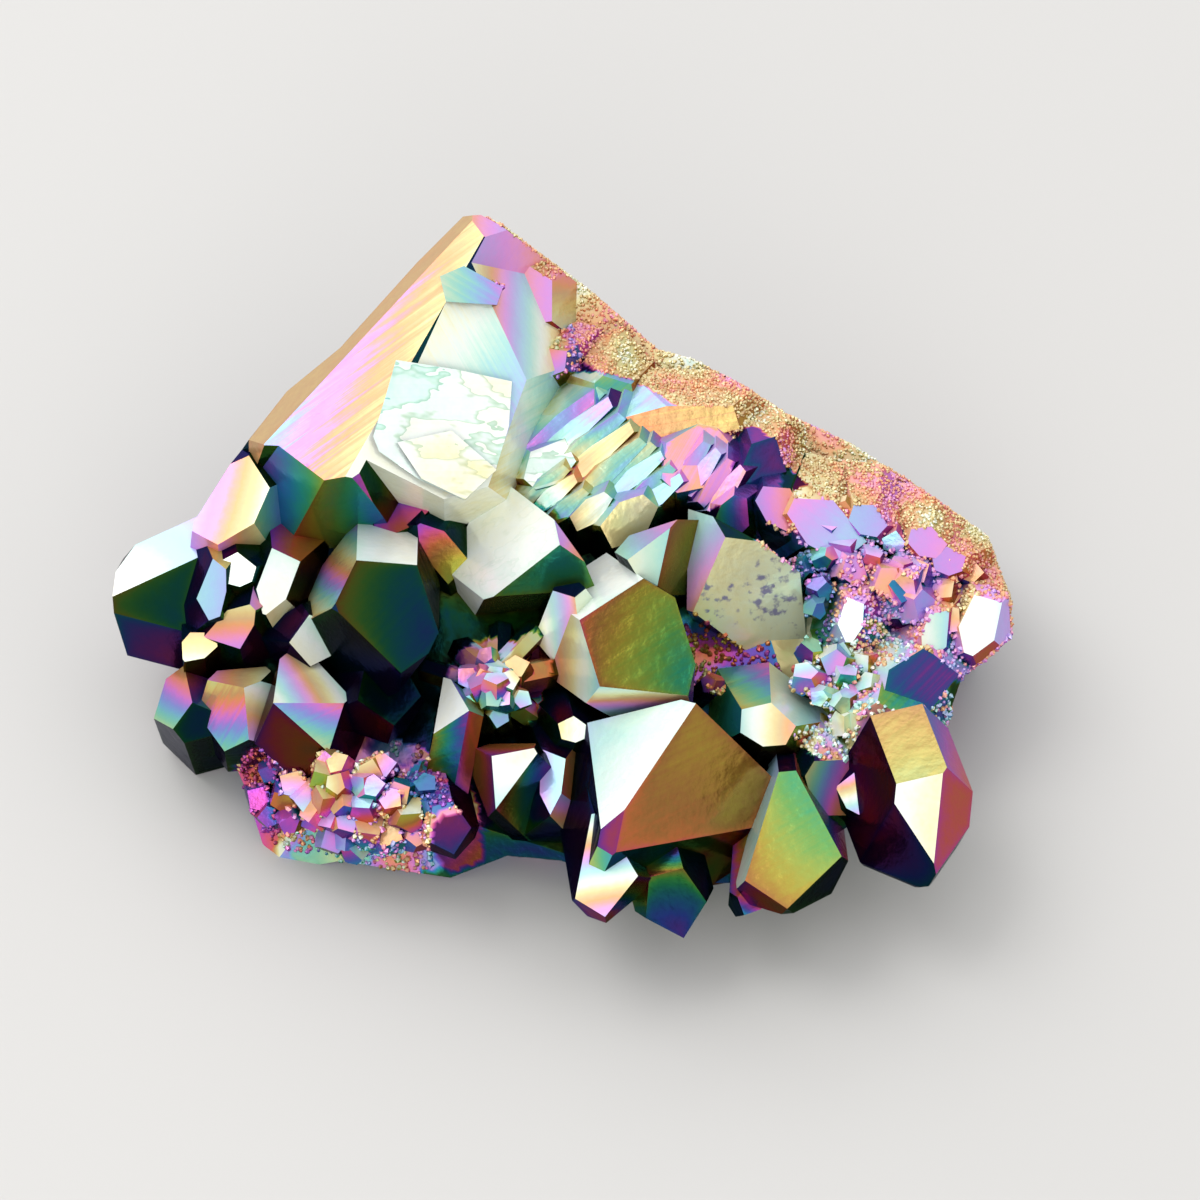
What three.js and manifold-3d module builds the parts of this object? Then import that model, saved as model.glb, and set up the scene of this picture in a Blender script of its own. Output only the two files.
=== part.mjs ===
// Aura quartz cluster: a broken piece of quartz crust with points grown all over its sloping face.
// Millimetres, +Z up. The cluster rests on a flat cut at z = 0.
import * as THREE from 'three';
import { ConvexGeometry } from 'three/addons/geometries/ConvexGeometry.js';
import { mergeVertices } from 'three/addons/utils/BufferGeometryUtils.js';
import Module from 'manifold-3d';

const wasm = await Module();
wasm.setup();

// ---------------------------------------------------------------- driving dimensions

const FACE_TILT = 42; // degrees that the growth face is tipped up from level; it looks to the front, -Y
const END_TILT = 51.8; // degrees between a quartz point's long axis and the normal of each end face
const CUT_LEVEL = -2; // height of the flat cut, from the origin of the growth face's axes
const CRUST_DEPTH = 3; // how far the crust lies below the level that the small faces stand at
const FAR = 60; // larger than the specimen, for blocks that only cut
const WELD = 1e-4; // corners nearer than this are one corner

const rad = THREE.MathUtils.degToRad;

// ---------------------------------------------------------------- solids

// A closed geometry as a manifold solid, with shared vertices merged.
function solidOf(geometry) {
  const bare = geometry.clone();
  bare.deleteAttribute('normal');
  bare.deleteAttribute('uv');
  const welded = mergeVertices(bare, WELD);
  return new wasm.Manifold(new wasm.Mesh({
    numProp: 3,
    vertProperties: new Float32Array(welded.attributes.position.array),
    triVerts: new Uint32Array(welded.index.array),
  }));
}

// A manifold solid back as a geometry.
function geometryOf(solid) {
  const mesh = solid.getMesh();
  const geometry = new THREE.BufferGeometry();
  geometry.setAttribute('position', new THREE.BufferAttribute(mesh.vertProperties, 3));
  geometry.setIndex(new THREE.BufferAttribute(mesh.triVerts, 1));
  return geometry;
}

// A plane through a point, facing along a unit normal.
function plane(normal, through) {
  return new THREE.Plane().setFromNormalAndCoplanarPoint(normal, through);
}

// The convex block that lies behind every one of the given planes.
function blockBehind(planes) {
  const corners = [];
  for (let i = 0; i < planes.length; i++) {
    for (let j = i + 1; j < planes.length; j++) {
      for (let k = j + 1; k < planes.length; k++) {
        const corner = meet(planes[i], planes[j], planes[k]);
        if (corner && planes.every((side) => side.distanceToPoint(corner) < WELD)) corners.push(corner);
      }
    }
  }
  return solidOf(new ConvexGeometry(corners));
}

// The corner where three planes meet, or null where they run side by side.
function meet(a, b, c) {
  const bc = new THREE.Vector3().crossVectors(b.normal, c.normal);
  const ca = new THREE.Vector3().crossVectors(c.normal, a.normal);
  const ab = new THREE.Vector3().crossVectors(a.normal, b.normal);
  const spread = a.normal.dot(bc);
  if (Math.abs(spread) < WELD) return null;
  const sum = bc.multiplyScalar(-a.constant);
  sum.addScaledVector(ca, -b.constant).addScaledVector(ab, -c.constant);
  return sum.divideScalar(spread);
}

// ---------------------------------------------------------------- growth-face axes

// Things on the growth face are placed by [across, up the face, out of the face]. A direction is a
// heading on the face, 0 to the right and 90 up the face, and a lean away from straight out.
function direction(heading, lean) {
  const flat = Math.sin(rad(lean));
  return new THREE.Vector3(flat * Math.cos(rad(heading)), flat * Math.sin(rad(heading)), Math.cos(rad(lean)));
}

// A face that passes through a point and falls away toward a heading, steep degrees from level.
function fall(heading, steep, through) {
  return plane(direction(heading, steep), new THREE.Vector3(...through));
}

// Repeatable scatter: the same run of numbers from 0 to 1 each time.
function scatter(seed) {
  let state = seed;
  return () => {
    state = (state * 16807) % 2147483647;
    return state / 2147483647;
  };
}

// ---------------------------------------------------------------- crust

// The piece of crust, seen square on to its growth face: apex, broken upper right edge, right end,
// lower edge under the points, left end, and the side of the big crystal.
const CRUST_OUTLINE = [
  [-5.3, 24.1], [-4, 23.4], [-1.2, 21.4], [1.6, 19.4], [4.4, 17], [6.5, 15.1], [8.8, 14.5], [12.2, 12.7],
  [15, 10.9], [19.5, 8.8], [24.2, 5.8], [28.7, 2.6], [30.1, -1.5], [30.2, -4], [28.3, -5.7], [27, -6.5],
  [25.8, -10], [24, -13], [18, -17.6], [12, -20.5], [4.5, -20.4], [0, -19], [-3.5, -18.7], [-7.3, -20.2],
  [-10.7, -19.7], [-14.7, -19.1], [-18, -19.7], [-19.9, -18], [-21.2, -14], [-22.3, -11.5], [-25, -9],
  [-25.4, -2], [-24.5, 3.5], [-22, 7.5], [-18.3, 12.3], [-14.7, 15.2], [-9.6, 20.9], [-6.5, 24],
];

// The falls that shape the growth face: a broad slope that turns down at every side.
const GROWTH_FALLS = [
  fall(90, 19, [0, 0, 15.5]),
  fall(185, 35, [-22, -3, 16]),
  fall(240, 25, [-16, -15, 19.5]),
  fall(40, 30, [24, -4, 15]),
  fall(55, 28, [10, 10, 12]),
];

// A box much larger than the specimen, as planes, to close a block that is cut on a few sides only.
const ALL_ROUND = [
  fall(0, 90, [FAR, 0, 0]), fall(90, 90, [0, FAR, 0]), fall(180, 90, [-FAR, 0, 0]),
  fall(270, 90, [0, -FAR, 0]), fall(0, 180, [0, 0, -FAR]), fall(0, 0, [0, 0, FAR]),
];

// How far out the growth face is at a place on it.
function growthFace(across, up) {
  const heights = GROWTH_FALLS.map(({ normal, constant }) => {
    return -(constant + normal.x * across + normal.y * up) / normal.z;
  });
  return Math.min(...heights);
}

// An outline on the growth face, run right through the specimen.
function throughPrism(outline) {
  const shape = new THREE.Shape(outline.map(([across, up]) => new THREE.Vector2(across, up)));
  const prism = new THREE.ExtrudeGeometry(shape, { depth: 2 * FAR, bevelEnabled: false });
  return solidOf(prism.translate(0, 0, -FAR));
}

const EDGE = throughPrism(CRUST_OUTLINE);

// A piece broken off flush with the sides of the crust.
function trimmed(piece) {
  return piece.intersect(EDGE);
}

// The broken sides at the back, each by the heading it faces on the ground (90 is straight back), the
// degrees it leans forward as it rises, and its distance from the upright line through the origin.
const BACK_WALLS = [
  { heading: 90, lean: 12, distance: 15 },
  { heading: 55, lean: 6, distance: 19 },
  { heading: 125, lean: 16, distance: 17 },
  { heading: 100, lean: 38, distance: 20.5 },
  { heading: 20, lean: -8, distance: 26 },
  { heading: 160, lean: -5, distance: 23.5 },
];

function backWall({ heading, lean, distance }) {
  const level = Math.cos(rad(lean));
  const normal = new THREE.Vector3(Math.cos(rad(heading)), Math.sin(rad(heading)), 0);
  normal.multiplyScalar(level).setZ(Math.sin(rad(lean)));
  const wall = new THREE.Plane(normal, -distance);
  return wall.applyMatrix4(new THREE.Matrix4().makeRotationX(rad(-FACE_TILT)));
}

function crust() {
  const top = GROWTH_FALLS.map((face) => face.clone().translate(new THREE.Vector3(0, 0, -CRUST_DEPTH)));
  return chipped(EDGE.intersect(blockBehind([...top, ...BACK_WALLS.map(backWall), ...ALL_ROUND])));
}

// Chips broken off the back and the lower back edge: each is a flat facing its own way, that takes a
// little off whatever stands out furthest on that side.
const CHIPS = { seed: 5, count: 16, headings: [5, 175], leans: [-38, 10], depths: [0.5, 2] };

function chipped(block) {
  const next = scatter(CHIPS.seed);
  const between = ([low, high]) => THREE.MathUtils.lerp(low, high, next());
  const position = geometryOf(block).attributes.position;
  const corners = Array.from({ length: position.count }, (_, k) => {
    return new THREE.Vector3().fromBufferAttribute(position, k);
  });
  const flats = [];
  for (let k = 0; k < CHIPS.count; k++) {
    const flat = backWall({ heading: between(CHIPS.headings), lean: between(CHIPS.leans), distance: 0 });
    const reach = Math.max(...corners.map((corner) => flat.normal.dot(corner)));
    flat.constant = between(CHIPS.depths) - reach;
    flats.push(flat);
  }
  return block.intersect(blockBehind([...flats, ...ALL_ROUND]));
}

// ---------------------------------------------------------------- quartz points

// A quartz point. Its tip stands out from the growth face. Its end is three large faces that meet at the
// tip and three small ones between them, set back by ends; its sides are six prism faces at their own
// distances from the axis.
function quartzPoint({ at, stands, heading, lean, roll, ends, sides, length }) {
  const top = new THREE.Vector3(...at, growthFace(...at) + stands);
  const axis = direction(heading, lean);
  const first = direction(heading, lean + 90);
  const second = new THREE.Vector3().crossVectors(axis, first);
  const planes = [plane(axis.clone().negate(), top.clone().addScaledVector(axis, -length))];
  for (let k = 0; k < 6; k++) {
    const turn = rad(roll + 60 * k);
    const out = first.clone().multiplyScalar(Math.cos(turn)).addScaledVector(second, Math.sin(turn));
    const endNormal = out.clone().multiplyScalar(Math.sin(rad(END_TILT)));
    endNormal.addScaledVector(axis, Math.cos(rad(END_TILT)));
    const setBack = k % 2 ? ends[(k - 1) / 2] : 0;
    planes.push(plane(endNormal, top.clone().addScaledVector(endNormal, setBack)));
    planes.push(plane(out, top.clone().addScaledVector(out, sides[k])));
  }
  return blockBehind(planes);
}

// The large points, from the left end to the right.
const POINTS = [
  // left end, outermost
  {
    at: [-30, -2], stands: 4, heading: 185, lean: 50, roll: 0,
    ends: [4, -0.5, 1], sides: [4.5, 4, 6, 5, 5.5, 4], length: 16,
  },
  // left end, lower
  {
    at: [-24.5, -8.5], stands: 3.5, heading: 105, lean: 20, roll: 60,
    ends: [3, 3, 3], sides: [3, 2, 1.8, 3, 2.5, 3.5], length: 9,
  },
  // lower left, between its neighbours
  {
    at: [-21, -7.5], stands: 3, heading: 95, lean: 20, roll: 0,
    ends: [2, 2, 0.5], sides: [2.5, 2.8, 3, 3, 2.8, 2.5], length: 8,
  },
  // dark one under the silvery faces
  {
    at: [-18, -4.5], stands: 2, heading: 200, lean: 20, roll: 40,
    ends: [2, 2, 2], sides: [2.5, 2, 2.5, 2, 2, 2.5], length: 8,
  },
  // large dark one left of the middle
  {
    at: [-10.5, -6.5], stands: 6, heading: 270, lean: 25, roll: 55,
    ends: [2, 2, 4], sides: [1, 3, 5, 5.5, 5.5, 4], length: 13,
  },
  // lower left, pointing left
  {
    at: [-19, -8.5], stands: 4, heading: 145, lean: 30, roll: 20,
    ends: [2.5, 0, 2.5], sides: [2, 3, 4.5, 3, 3.5, 5], length: 11,
  },
  // dark one above the lower patch
  {
    at: [-11, -10], stands: 2, heading: 300, lean: 30, roll: 30,
    ends: [2, 2, 2], sides: [2.5, 2.5, 3, 2.5, 2.5, 2], length: 9,
  },
  // narrow one in the middle
  {
    at: [-6, -9], stands: 4, heading: 75, lean: 20, roll: 95,
    ends: [0, 3, 1.5], sides: [2, 4, 4.5, 1, 1.5, 4], length: 9,
  },
  // lower middle
  {
    at: [-4.5, -12], stands: 4, heading: 135, lean: 35, roll: 70,
    ends: [2.5, 3, 2], sides: [2.5, 3, 1.5, 2.5, 2, 2.5], length: 9,
  },
  // right end of the lower patch
  {
    at: [-7, -18.5], stands: 3.5, heading: 285, lean: 35, roll: 60,
    ends: [1.5, 1.5, 1.5], sides: [1.8, 1.8, 2.2, 1.6, 1.6, 0.8], length: 8,
  },
  // lowest, at the front
  {
    at: [3, -22.5], stands: 8.5, heading: 280, lean: 30, roll: 60,
    ends: [2.5, 2.5, 0.5], sides: [4.5, 3, 4.5, 2, 1.4, 0.8], length: 13,
  },
  // dark tip beside it, pointing down
  {
    at: [8.2, -24], stands: 4, heading: 285, lean: 60, roll: 60,
    ends: [1.5, 1.5, 1.5], sides: [2.4, 2.4, 2.8, 2.4, 2.2, 2], length: 10,
  },
  // largest, at the front
  {
    at: [9, -8.5], stands: 7, heading: 65, lean: 55, roll: 110,
    ends: [3, 3, 0.5], sides: [5, 9.5, 5.5, 8, 6, 8.5], length: 12,
  },
  // tall one in the middle
  {
    at: [8.5, -8], stands: 5.5, heading: 325, lean: 30, roll: 35,
    ends: [2.5, 2.5, 2], sides: [1, 5, 5.5, 5, 4, 3], length: 13,
  },
  // narrow one beside it
  {
    at: [1, -1.5], stands: 4.5, heading: 50, lean: 5, roll: 50,
    ends: [2.5, 4.5, 2], sides: [1, 1.5, 3.5, 5, 3, 1], length: 9,
  },
  // white one under the broken face
  {
    at: [0, 2], stands: 5.5, heading: 60, lean: 15, roll: 95,
    ends: [2, 3.5, 1.5], sides: [6, 5.5, 2.5, 3.5, 1, 5.5], length: 13,
  },
  // narrow one at its foot, between it and the dark tip
  {
    at: [12.2, -22.5], stands: 2, heading: 265, lean: 45, roll: 30,
    ends: [0.8, 0.8, 0.8], sides: [1.1, 1.1, 1.1, 1.1, 1.1, 1.1], length: 8,
  },
  // front right
  {
    at: [15, -22], stands: 5, heading: 275, lean: 20, roll: 60,
    ends: [2, 4.5, 0], sides: [3, 4.5, 6.5, 3, 2.5, 0.7], length: 13,
  },
  // right front corner
  {
    at: [25, -20.5], stands: 5, heading: 290, lean: 45, roll: 110,
    ends: [0.5, 0.5, -0.5], sides: [4.5, 4.8, 3.4, 4, 1, 2.5], length: 12,
  },
  // upper right, mottled
  {
    at: [11, 2.5], stands: 5, heading: 120, lean: 15, roll: 60,
    ends: [2, 2, 4], sides: [3, 5, 7.5, 4.5, 1, 6], length: 12,
  },
  // behind the mottled one
  {
    at: [4.5, 1], stands: 4, heading: 180, lean: 35, roll: 45,
    ends: [1, 3.5, 4.5], sides: [3, 2.5, 1.5, 3.5, 2, 2], length: 10,
  },
];

// ---------------------------------------------------------------- the big broken crystal

// It lies along the upper left side: a long striped face and a broken face meet in a ridge, and two
// crystals grown side by side end in small steep faces at the lower left.
const RIDGE_TOP = [-5.2, 22.4, 16];
const STRIPED_FACE = fall(130, 37, RIDGE_TOP);
const BROKEN_FACE = fall(24, 18, RIDGE_TOP);
const OUTER_FACE = fall(135, 68, [-13, 16, 15.9]);
const APEX_FACE = fall(60, 62, [-4.6, 22.9, 15]);
const UNDER = fall(0, 180, [0, 0, 2]);

function bigCrystal() {
  const striped = blockBehind([
    STRIPED_FACE, BROKEN_FACE, OUTER_FACE, APEX_FACE, UNDER,
    fall(210, 62, [-17, 7.3, 19]),
    fall(268, 62, [-15.2, 6.3, 20.3]),
    fall(318, 55, [-13.4, 6.8, 20.6]),
    fall(340, 62, [-9, 14, 17.5]),
  ]);
  const grownBeside = blockBehind([
    STRIPED_FACE, OUTER_FACE, APEX_FACE, UNDER,
    fall(252, 62, [-18.7, 8.6, 17.4]),
    fall(200, 70, [-19.9, 8.2, 16]),
    fall(340, 60, [-16, 9, 18.5]),
  ]);
  const broken = blockBehind([
    STRIPED_FACE, BROKEN_FACE, OUTER_FACE, APEX_FACE, UNDER,
    fall(247, 72, [-10, 6, 19]),
    fall(292, 72, [-5.4, 5.6, 18]),
    fall(345, 70, [-3.2, 10, 16.8]),
    fall(25, 66, [-3.9, 17, 16]),
  ]);
  return striped.add(grownBeside).add(broken).intersect(EDGE);
}

// A thin flake of the broken face: its outline, raised by lift along the face's own slope.
function flake(outline, face, lift) {
  const raised = face.clone().translate(new THREE.Vector3(0, 0, lift));
  const floor = face.clone().translate(new THREE.Vector3(0, 0, -1.5)).negate();
  return throughPrism(outline).intersect(blockBehind([raised, floor, ...ALL_ROUND]));
}

// Flakes left by the break, each a step of a fraction of a millimetre.
const FLAKES = [
  {
    outline: [
      [-10.9, 14.3], [-7, 13.7], [-3.2, 12.9], [-3.4, 9.9], [-4.3, 6.9],
      [-6.4, 5], [-9.3, 6.3], [-12, 8.2], [-12.4, 9.2], [-11.6, 11.8],
    ],
    lift: 0.5,
  },
  { outline: [[-10.8, 8.8], [-7.2, 9.6], [-4.2, 7], [-6.3, 5], [-9.2, 6.4]], lift: 0.85 },
  { outline: [[-8, 19.9], [-6.4, 20.6], [-3.8, 19.2], [-4.2, 18], [-7.6, 18.2]], lift: 0.7 },
];

// ---------------------------------------------------------------- small faces

// A small crystal that shows one face: the face itself falls toward a heading, its sides drop all round.
const SIDE_DROPS = [58, 64]; // degrees from level, turn and turn about
const FACE_SIDES = 6;
const FACE_STANDS = 1.2; // height of the middle of the face over the growth face
const FACE_ROOT = 5; // depth of the little crystal below it

function smallFace({ at, heading, steep, reach, turn }) {
  const centre = [...at, growthFace(...at) + FACE_STANDS];
  const planes = [fall(heading, steep, centre), fall(0, 180, [0, 0, centre[2] - FACE_ROOT])];
  for (let k = 0; k < FACE_SIDES; k++) {
    const angle = (2 * Math.PI * k) / FACE_SIDES;
    const along = reach[0] * Math.cos(angle);
    const beside = reach[1] * Math.sin(angle);
    const foot = new THREE.Vector2(along, beside).rotateAround(new THREE.Vector2(), rad(turn));
    const out = new THREE.Vector2(Math.cos(angle) / reach[0], Math.sin(angle) / reach[1]);
    const sideHeading = THREE.MathUtils.radToDeg(out.angle()) + turn;
    planes.push(fall(sideHeading, SIDE_DROPS[k % 2], [at[0] + foot.x, at[1] + foot.y, centre[2]]));
  }
  return blockBehind(planes);
}

const SMALL_FACES = [
  // the broken upper right edge
  { at: [-2.3, 18.6], heading: 30, steep: 30, reach: [1.9, 1.2], turn: -62 },
  { at: [-1.2, 14], heading: 75, steep: 25, reach: [1.4, 0.9], turn: 10 },
  { at: [3.1, 11.7], heading: 0, steep: 40, reach: [1.7, 1], turn: -65 },
  { at: [7.1, 10.1], heading: 285, steep: 16, reach: [4.6, 1.2], turn: 7 },
  { at: [8.7, 7.3], heading: 60, steep: 22, reach: [2.3, 1.8], turn: 45 },
  { at: [13, 6.7], heading: 350, steep: 40, reach: [2.3, 1.2], turn: 80 },
  { at: [4.6, 3.9], heading: 290, steep: 20, reach: [1.9, 1.2], turn: 38 },
  { at: [-0.8, 7], heading: 95, steep: 22, reach: [1.7, 1.2], turn: 40 },
  // the right end
  { at: [17.2, 3.2], heading: 25, steep: 25, reach: [2.5, 1.4], turn: -36 },
  { at: [20.5, 3.5], heading: 60, steep: 20, reach: [1.2, 0.9], turn: -30 },
  { at: [24.4, 2.1], heading: 40, steep: 18, reach: [1.2, 0.9], turn: -25 },
  { at: [26, 0.7], heading: 80, steep: 22, reach: [1, 0.8], turn: 0 },
  { at: [23, -1.3], heading: 200, steep: 30, reach: [1.4, 0.9], turn: 75 },
  { at: [24.7, -4.3], heading: 10, steep: 35, reach: [1.5, 0.7], turn: 75 },
  { at: [27.8, -3.9], heading: 60, steep: 24, reach: [1.8, 1.1], turn: 70 },
  { at: [19.5, -3.4], heading: 120, steep: 25, reach: [1.3, 0.7], turn: 80 },
  { at: [21.5, -10.7], heading: 300, steep: 14, reach: [2.4, 1.8], turn: -60 },
  { at: [23, -7.7], heading: 20, steep: 32, reach: [2, 1.7], turn: 40 },
  { at: [13.7, -10.3], heading: 80, steep: 22, reach: [1.7, 1.2], turn: -15 },
  { at: [17.3, -14.3], heading: 20, steep: 45, reach: [1.7, 1.1], turn: -55 },
  { at: [19.8, -15], heading: 100, steep: 30, reach: [1.2, 0.9], turn: -60 },
  { at: [14.4, 4.4], heading: 30, steep: 25, reach: [1.6, 1.1], turn: -40 },
  { at: [11.4, 4.2], heading: 300, steep: 30, reach: [1.4, 0.9], turn: 60 },
  { at: [2.1, 4.5], heading: 290, steep: 22, reach: [1.5, 0.7], turn: 38 },
  { at: [-10.3, 3.9], heading: 120, steep: 30, reach: [2.2, 0.9], turn: 35 },
  { at: [-8.5, 2.3], heading: 300, steep: 30, reach: [1.8, 0.9], turn: -50 },
  { at: [-0.5, -14.5], heading: 120, steep: 30, reach: [1.8, 0.6], turn: 85 },
  { at: [1, -10.5], heading: 110, steep: 25, reach: [0.9, 0.7], turn: 0 },
  // the left end
  { at: [-21.9, 4.5], heading: 130, steep: 25, reach: [2.8, 2], turn: 50 },
  { at: [-22.7, -1.2], heading: 170, steep: 45, reach: [1.7, 0.6], turn: 85 },
  { at: [-21.4, 0], heading: 110, steep: 28, reach: [1.1, 0.9], turn: 0 },
  { at: [-19.2, -1.3], heading: 80, steep: 30, reach: [1.8, 0.9], turn: 70 },
  { at: [-21, -3], heading: 200, steep: 38, reach: [1.4, 0.8], turn: 55 },
  { at: [-24.1, -4.9], heading: 120, steep: 22, reach: [1.3, 0.8], turn: 25 },
];

// Ribs left where a crystal was torn away: narrow steps side by side, that fall to one side and the
// other in turn.
const RIB_FALLS = [14, 24]; // degrees from level

function ribs({ at, heading, count, gap, reach }) {
  const step = new THREE.Vector2(gap, 0).rotateAround(new THREE.Vector2(), rad(heading));
  const blocks = [];
  for (let k = 0; k < count; k++) {
    const shift = k - (count - 1) / 2;
    blocks.push(smallFace({
      at: [at[0] + shift * step.x, at[1] + shift * step.y],
      heading: heading + 180 * (k % 2),
      steep: RIB_FALLS[k % 2],
      reach,
      turn: heading + 90,
    }));
  }
  return blocks;
}

const RIBS = [
  { at: [1.5, 8.5], heading: -50, count: 5, gap: 1.1, reach: [3.4, 0.6] },
  { at: [5.5, 6.2], heading: -50, count: 4, gap: 1, reach: [2.2, 0.5] },
  { at: [-0.4, 5.2], heading: -50, count: 3, gap: 1, reach: [1.9, 0.5] },
  { at: [10, 6.5], heading: -35, count: 4, gap: 1, reach: [1.8, 0.5] },
  { at: [-3.5, 15.3], heading: 55, count: 3, gap: 0.9, reach: [2, 0.5] },
];

// ---------------------------------------------------------------- druse

// A patch of small points all over an oval of the growth face. They lean outward from its middle, and
// stand highest there. Each strays from its place in the rows, and from the others' height and lean.
const STRAY = { place: 0.4, height: 0.6, heading: 60, lean: 20 };
const EDGE_DROP = 0.6; // share of the rise that is lost at the edge of the oval
const ROOT = 1.5; // length below the crust, in radii

function druse({ seed, centre, reach, turn, spacing, radius, lean, rise }) {
  const next = scatter(seed);
  const points = [];
  const rows = Math.ceil(Math.max(...reach) / spacing);
  for (let row = -rows; row <= rows; row++) {
    for (let column = -rows; column <= rows; column++) {
      const spot = new THREE.Vector2(column + 0.5 * (row % 2), row);
      spot.addScalar(STRAY.place * (next() - 0.5)).multiplyScalar(spacing);
      const fromMiddle = Math.hypot(spot.x / reach[0], spot.y / reach[1]);
      if (fromMiddle > 1) continue;
      spot.rotateAround(new THREE.Vector2(), rad(turn));
      const [across, up] = [centre[0] + spot.x, centre[1] + spot.y];
      const size = THREE.MathUtils.lerp(radius[0], radius[1], next());
      points.push(quartzPoint({
        at: [across, up],
        stands: rise * (1 - EDGE_DROP * fromMiddle ** 2) + STRAY.height * next(),
        heading: THREE.MathUtils.radToDeg(spot.angle()) + STRAY.heading * (next() - 0.5),
        lean: lean * fromMiddle + STRAY.lean * next(),
        roll: 60 * next(),
        ends: Array(3).fill(size),
        sides: Array(6).fill(size),
        length: rise + CRUST_DEPTH + ROOT * size,
      }));
    }
  }
  return points;
}

const DRUSES = [
  // the right end
  {
    seed: 11, centre: [22.5, 0.5], reach: [7.6, 4], turn: -25,
    spacing: 2.2, radius: [0.8, 1.3], lean: 30, rise: 1.2,
  },
  // right of the front points
  {
    seed: 23, centre: [20.5, -7.5], reach: [5.5, 3.6], turn: -30,
    spacing: 1.9, radius: [0.7, 1.1], lean: 30, rise: 1,
  },
  // beside the dusty point
  {
    seed: 53, centre: [17.2, -1], reach: [1.3, 3.6], turn: 8,
    spacing: 2, radius: [0.7, 1.1], lean: 30, rise: 1.4,
  },
  // between the three largest points right of the middle
  {
    seed: 61, centre: [10.3, -7.2], reach: [1.7, 2.3], turn: 10,
    spacing: 2, radius: [0.7, 1.1], lean: 30, rise: 1.2,
  },
  // the lower left edge
  {
    seed: 37, centre: [-14.2, -15.2], reach: [7, 3.8], turn: -6,
    spacing: 1.7, radius: [0.8, 1.2], lean: 40, rise: 2,
  },
  // a ball of them in the middle
  {
    seed: 41, centre: [-4.3, -7.4], reach: [3, 3], turn: 0,
    spacing: 1.45, radius: [0.7, 1], lean: 50, rise: 4.4,
  },
];

// ---------------------------------------------------------------- the cluster

// Everything grown together as one solid, tipped up and cut off flat where it rests.
function cluster() {
  const parts = [
    crust(),
    bigCrystal(),
    ...FLAKES.map(({ outline, lift }) => flake(outline, BROKEN_FACE, lift)),
    ...POINTS.map(quartzPoint),
    ...SMALL_FACES.map(smallFace).map(trimmed),
    ...RIBS.flatMap(ribs).map(trimmed),
    ...DRUSES.flatMap(druse).map(trimmed),
  ];
  const grown = parts.reduce((whole, piece) => whole.add(piece));
  const tipped = solidOf(geometryOf(grown).rotateX(rad(FACE_TILT)));
  const ground = new THREE.BoxGeometry(4 * FAR, 4 * FAR, 2 * FAR).translate(0, 0, CUT_LEVEL - FAR);
  return withoutPockets(tipped.subtract(solidOf(ground)));
}

// The solid with the pockets filled that crystals seal in where they meet. The skin of a pocket faces
// inward, so that its volume counts as less than nothing.
function withoutPockets(solid) {
  const skins = solid.decompose().filter((skin) => skin.volume() > 0);
  return skins.reduce((whole, skin) => whole.add(skin));
}

const geometry = geometryOf(cluster());
geometry.computeVertexNormals();
geometry.computeBoundingBox();
const middle = geometry.boundingBox.getCenter(new THREE.Vector3());

const auraQuartz = new THREE.MeshStandardMaterial({
  color: '#7f9a8c', roughness: 0.18, metalness: 0.9, flatShading: true,
});
const quartzCluster = new THREE.Mesh(geometry, auraQuartz);
quartzCluster.name = 'quartz_cluster';
quartzCluster.position.set(-middle.x, -middle.y, -CUT_LEVEL);

const specimen = new THREE.Group();
specimen.add(quartzCluster);

export default specimen;
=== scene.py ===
import math
import random
from collections import namedtuple

import bpy
import numpy as np
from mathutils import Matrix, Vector
from mathutils.bvhtree import BVHTree
from mathutils.kdtree import KDTree


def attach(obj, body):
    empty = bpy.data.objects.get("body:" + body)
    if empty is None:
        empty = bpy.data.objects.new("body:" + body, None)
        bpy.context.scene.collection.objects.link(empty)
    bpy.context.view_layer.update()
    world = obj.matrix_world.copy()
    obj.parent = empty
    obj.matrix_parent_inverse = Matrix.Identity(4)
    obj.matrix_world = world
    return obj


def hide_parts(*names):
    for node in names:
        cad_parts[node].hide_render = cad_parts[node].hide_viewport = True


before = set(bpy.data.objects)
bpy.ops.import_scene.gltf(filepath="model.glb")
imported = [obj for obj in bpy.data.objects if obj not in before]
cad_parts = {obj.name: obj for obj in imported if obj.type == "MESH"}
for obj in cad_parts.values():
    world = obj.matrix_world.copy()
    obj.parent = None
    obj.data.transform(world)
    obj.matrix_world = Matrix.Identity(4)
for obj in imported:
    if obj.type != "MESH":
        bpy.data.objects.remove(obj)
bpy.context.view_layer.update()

# ---------------------------------------------------------------- the grown quartz
# One mass of rock crystal: points, broken faces and the crust they stand on, all grown as one solid.
# A metal vapour was baked on to it, and the film is thicker on the faces that looked toward the
# vapour and thinner in the crevices, so each face carries its own bands of interference colour.
# The colour is also painted paler on faces turned toward the light and deeper on faces turned away
# (painted highlight and painted shade), and the crevices are painted dark (painted shade).

MM = 0.001
FACE_TILT = math.radians(42)  # the growth face is tipped up toward the front by this much
FACE_ORIGIN = np.array([-0.128, 9.911, 2.0])  # of the growth face's own axes, mm in the row frame
ACROSS = np.array([1.0, 0.0, 0.0])
UP_FACE = np.array([0.0, math.cos(FACE_TILT), math.sin(FACE_TILT)])
OUT_OF_FACE = np.array([0.0, -math.sin(FACE_TILT), math.cos(FACE_TILT)])
GROWTH_AXES = np.array([ACROSS, UP_FACE, OUT_OF_FACE])

FRONT_GRAIN = 0.52  # longest mesh edge on the growth face, mm
BACK_GRAIN = 0.85  # and on the broken rock behind and the undersides
BASE_GRAIN = 3.0  # and on the cut base
MOST_SPLITS = 14
SAME_FLAT = 0.9999  # cosine between normals of triangles that belong to one crystal face


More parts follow.
